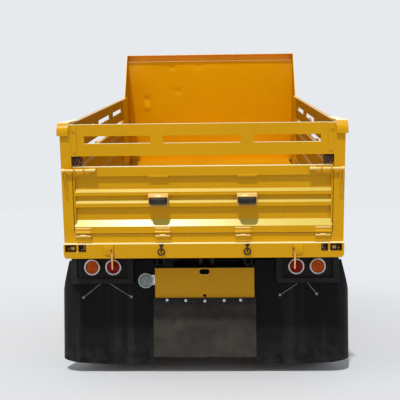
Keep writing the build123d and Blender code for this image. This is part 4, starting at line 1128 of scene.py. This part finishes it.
def make_cab_dressing():
    """Window rubbers, wipers, chin louvres, and each door's fittings and lining, mirror glass and grab bar."""
    seals = []
    for half, low, high, thick in ((0.972, (6.413, 1.68), (6.216, 2.38), 0.011),
                                   (0.695, (4.758, 1.755), (4.758, 2.295), 0.009)):
        loop = [(-half, *low), (half, *low), (half, *high), (-half, *high), (-half, *low)]
        seals.append(bent_bar(loop, thick))
    wipers = []
    for x in (-0.55, 0.20):
        arm = [on_screen(x, 1.65, 0.012), on_screen(x + 0.03, 1.7, 0.024), on_screen(x + 0.3, 1.88, 0.004)]
        blade = [on_screen(x + 0.3 + t, 1.88 + 0.55 * t, -0.007) for t in (-0.22, -0.08, 0.08, 0.26)]
        cap = turned([(0, 0.022), (0.014, 0.02), (0.018, 0.012), (0.018, 0), (0, 0)], 20)
        wipers += [bent_bar(arm, 0.006), bent_bar(blade, 0.006), moved(cap, at(x, 6.42, 1.648, FORWARD))]
    fitted("cab_seals_and_wipers", "cab", "black_moulding", *seals, *wipers)
    vents = [block(about(x, 0.16), (6.436, 6.448), (0.925 + i * 0.03, 0.941 + i * 0.03), 0.003)
             for x in (-0.45, 0.45) for i in range(5)]
    fitted("chin_louvres", "cab", "black_moulding", *vents)
    for side, words in SIDES:
        x, card_x = side * CAB_HALF, side * (CAB_HALF - 0.047)
        pocket = block(between(side, CAB_HALF - 0.006, CAB_HALF + 0.003), (5.235, 5.385), (1.5, 1.56), 0.004, 3)
        grip = [(x + side * out, y, z) for out, y, z in ((0.002, 5.25, 1.533), (0.016, 5.262, 1.535),
                                                         (0.016, 5.358, 1.535), (0.002, 5.37, 1.533))]
        edge = [(x - side * 0.008, y, z) for y, z in ((5.262, 1.642), (6.046, 1.642), (6.008, 2.376),
                                                      (5.262, 2.376), (5.262, 1.642))]
        fitted(f"{words}_door_fittings", f"{words}_door", "black_moulding", pocket,
               bent_bar(grip, 0.007), bent_bar(edge, 0.009))
        card = block(sorted((card_x, card_x - side * 0.012)), (5.215, 6), (1.2, 1.61), 0.008, 3)
        pull = [(card_x - side * out, y, 1.47)
                for out, y in ((0.012, 5.4), (0.04, 5.42), (0.04, 5.62), (0.012, 5.64))]
        fitted(f"{words}_door_card", f"{words}_door", "black_moulding", card, bent_bar(pull, 0.009))
        glass = block(between(side, 1.136, 1.22), (6.1478, 6.1505), (1.772, 2.148), 0.0006, 1)
        fitted(f"{words}_mirror_glass", "cab", "mirror_face", glass)
        grab = [(side * out, 5.12, z) for out, z in ((1.085, 1.3), (1.11, 1.32), (1.11, 1.88), (1.085, 1.9))]
        fitted(f"{words}_grab_bar", "cab", "black_moulding", bent_bar(grab, 0.011))


def creases(y, *sides):
    """Pressed creases along the cab's sides."""
    return [block(between(side, 1.086, 1.0945), y, (z, z + 0.022), 0.004, 3)
            for side in sides for z in CREASES_Z]


def make_cab_trim():
    """Sun visor, roof lamps, side indicators, rubbing strips and the cab's pressed creases and ribs."""
    visor = cut_plate([(6.18, 2.474), (6.325, 2.398), (6.332, 2.41), (6.188, 2.488)], 1.96)
    arms = [block(about(x, 0.012), (6.165, 6.205), (2.44, 2.486), 0.004) for x in (-0.6, 0, 0.6)]
    strips = [block((-1, 1), (6.416, 6.433), (1.552, 1.572), 0.005, 3),
              block((-0.665, 0.665), (6.434, 6.447), (1.492, 1.506), 0.004)]
    moved(visor, at(-0.98, 0, 0, ACROSS))
    fitted("cab_visor_and_strips", "cab", "black_moulding", visor, *arms, *strips)
    lamp = block((-0.055, 0.055), (-0.02, 0.02), (-0.004, 0.026), 0.01, 3)
    lamps = repeated(lamp, [at(x, 6.115, 2.526, (0, 0.5, 0.86)) for x in (-0.9, -0.16, 0, 0.16, 0.9)])
    sides = [block(between(side, 1.086, 1.106), (6.19, 6.275), (1.352, 1.392), 0.008, 3)
             for side in (LEFT, RIGHT)]
    fitted("cab_marker_lamps", "cab", "amber_lens", lamps, *sides)
    ribs = [block(about(x, 0.03), (4.95, 5.96), (2.552, 2.57), 0.008, 3) for x in (-0.72, -0.36, 0, 0.36, 0.72)]
    ribs += [block((-0.9, 0.9), (4.751, 4.766), (z, z + 0.04), 0.007, 3) for z in (1.26, 1.41, 1.56)]
    fitted("cab_ribs", "cab", "white_paint", *ribs, *creases((4.83, 5.175), LEFT, RIGHT))
    for side, words in SIDES:
        fitted(f"{words}_door_creases", f"{words}_door", "white_paint", *creases((5.235, 6.01), side))
    strip = block((-1.05, 1.05), (6.492, 6.51), (0.752, 0.774), 0.006, 3)
    fitted("bumper_strip", "chassis", "black_moulding", strip)


def make_splash_sheets():
    """Sheets ahead of the rear wheels on their rods, and the two brake chambers behind the axle."""
    y = 1.800
    sheet = block((0.45, 1.17), about(y, 0.003), (0.36, 0.925), 0.002)
    edit(sheet)
    pick(lambda spot, normal: abs(normal.y) > 0.9)
    bpy.ops.mesh.inset(thickness=0.04, depth=0)
    bpy.ops.mesh.inset(thickness=0.01, depth=0.003)
    leave()
    fitted("splash_sheets", "chassis", "flap_rubber", sheet, both=True)
    rod = bent_bar([(0.42, y - 0.014, 0.895), (1.15, y - 0.014, 0.895)], 0.011, 3)
    fitted("splash_rods", "chassis", "black_paint", rod, both=True)
    chamber = turned([(0, 0.11), (0.03, 0.11), (0.058, 0.1), (0.066, 0.082), (0.068, 0.06),
                      (0.076, 0.058), (0.078, 0.052), (0.076, 0.046), (0.068, 0.044),
                      (0.062, 0.018), (0.03, 0.006), (0.012, 0), (0.012, -0.06), (0, -0.06)], 32)
    chambers = repeated(chamber, [at(side * 0.34, 0.975, AXLE_Z + 0.02, REARWARD) for side in (LEFT, RIGHT)])
    fitted("brake_chambers", "chassis", "cast_iron_dark", chambers)


def make_dash_dressing():
    """Instrument cowl with its two dials."""
    cowl = crowned_pad((0.4, 0.8), (6.14, 6.33), (1.575, 1.65), 0.012)
    fitted("instrument_cowl", "cab", "black_moulding", cowl, smooth=60)
    dial = turned([(0, 0.004), (0.036, 0.004), (0.038, 0.009), (0.045, 0.009), (0.047, 0), (0, 0)], 32)
    fitted("dials", "cab", "bright_metal",
           repeated(dial, [at(x, 6.0592, 1.5408, (0, -0.86, 0.51)) for x in (0.54, 0.66)]))


# Spring seats: axle, across the spring, under and over it, half the U-bolts' spread, and its leaves' underside
SPRING_SEATS = ((REAR_AXLE, 0.450, 0.550, 0.425, 0.672, 0.090, 0.578),
                (FRONT_AXLE, 0.336, 0.430, 0.380, 0.582, 0.062, 0.488))


def make_chassis_dressing():
    """U-bolts, spring clips, frame bolts, propeller shaft joints, tank cap, battery lid and axle cover."""
    iron = []
    for axle, low, high, foot, top, spread_y, leaf in SPRING_SEATS:
        iron.append(block((low - 0.016, high + 0.016), about(axle, spread_y + 0.02),
                          (foot + 0.004, foot + 0.018), 0.002))
        for y in about(axle, spread_y):
            hoop = ((low, foot), (low, top - 0.012), (low + 0.012, top), (high - 0.012, top),
                    (high, top - 0.012), (high, foot))
            iron.append(bent_bar([(x, y, z) for x, z in hoop], 0.009))
        for y in about(axle, 0.45):
            iron.append(block((low + 0.004, high - 0.004), about(y, 0.018), (leaf + 0.039, leaf + 0.077),
                              0.003))
    fitted("spring_bolts", "chassis", "cast_iron_dark", *iron, both=True)
    rows = [at(side * 0.425, 0.6 + 0.28 * i, z, (side, 0, 0))
            for side in (LEFT, RIGHT) for i in range(20) for z in (0.76, 0.905)]
    fitted("frame_bolts", "chassis", "black_paint", repeated(make_bolt(0.011), rows))
    shaft_low, shaft_high = Vector((0, 1.425, AXLE_Z + 0.02)), Vector((0, 4.45, 0.7))
    run = (shaft_high - shaft_low).normalized()
    flange = turned([(0.03, 0), (0.075, 0), (0.078, 0.004), (0.078, 0.016), (0.052, 0.02),
                     (0.046, 0.07), (0.03, 0.078), (0.03, 0)], 32)
    joint = joined(flange, make_nuts(4, 0.062, 0.016, 0.008))
    ends = [at(*(shaft_low + run * 0.004), run), at(*(shaft_high - run * 0.004), -run)]
    fitted("shaft_joints", "chassis", "cast_iron_dark", repeated(joint, ends))
    cap = turned([(0, 0.03), (0.03, 0.03), (0.04, 0.024), (0.043, 0.01), (0.05, 0.008), (0.05, -0.004),
                  (0, -0.004)], 28)
    fitted("tank_cap", "chassis", "bright_metal", cap, place=at(-0.76, 3.6, 0.9))
    lid = block((0.474, 0.936), (3.044, 3.656), (0.842, 0.886), 0.008, 3)
    grips = [bent_bar([(0.93, y, 0.7), (0.948, y, 0.706), (0.948, y, 0.764), (0.93, y, 0.77)], 0.006)
             for y in (3.16, 3.54)]
    ribs = [block((0.926, 0.934), (3.08, 3.62), (z, z + 0.018), 0.003) for z in (0.6, 0.65, 0.8)]
    fitted("battery_lid_dressed", "chassis", "black_paint", lid, *grips, *ribs)
    ring = turned([(0.135, 0.128), (0.135, 0.142), (0.168, 0.142), (0.172, 0.138), (0.172, 0.11),
                   (0.135, 0.128)], 40)
    bolts = [turn(30 * i, "Z") @ Matrix.Translation((0.152, 0, 0.142)) for i in range(12)]
    fitted("axle_cover", "chassis", "cast_iron_dark", ring, repeated(make_bolt(0.009), bolts),
           place=at(0, REAR_AXLE, AXLE_Z, REARWARD))


def make_step_treads():
    """Raised tread bars on the cab steps and a blank plate on the bumper."""
    bars = [block((x, x + 0.01), (5.87, 6.23), (0.588, 0.594), 0.002, 1)
            for x in [0.79 + 0.035 * i for i in range(8)]]
    fitted("step_treads", "chassis", "bright_metal", *bars, both=True)
    plate = block((-0.23, 0.23), (6.4985, 6.502), (0.6, 0.71), 0.0015)
    fitted("blank_plate", "chassis", "white_paint", plate)


for make in (
        make_camera, make_studio, make_finishes, make_wheels, make_tail_lamps, make_head_lamps, make_seats,
        make_steering_wheel, make_air_tanks, make_exhaust, make_latches, make_gate_hinges, make_hinge_lips,
        make_buffers, make_rack_bolts, make_corner_chains, make_sill_recesses, make_sill_tabs, make_sill_hooks,
        make_tail_plates, make_flap_stays, make_headboard, make_cab_dressing, make_cab_trim,
        make_splash_sheets, make_dash_dressing, make_chassis_dressing, make_step_treads):
    make()

for node, width in SOFT_EDGES.items():
    softened(node, width)
for node, piece in frame["nodes"].items():
    if not piece.hide_render:
        piece.material_slots[0].link = "OBJECT"
        piece.material_slots[0].material = bpy.data.materials[finish_of(node)]
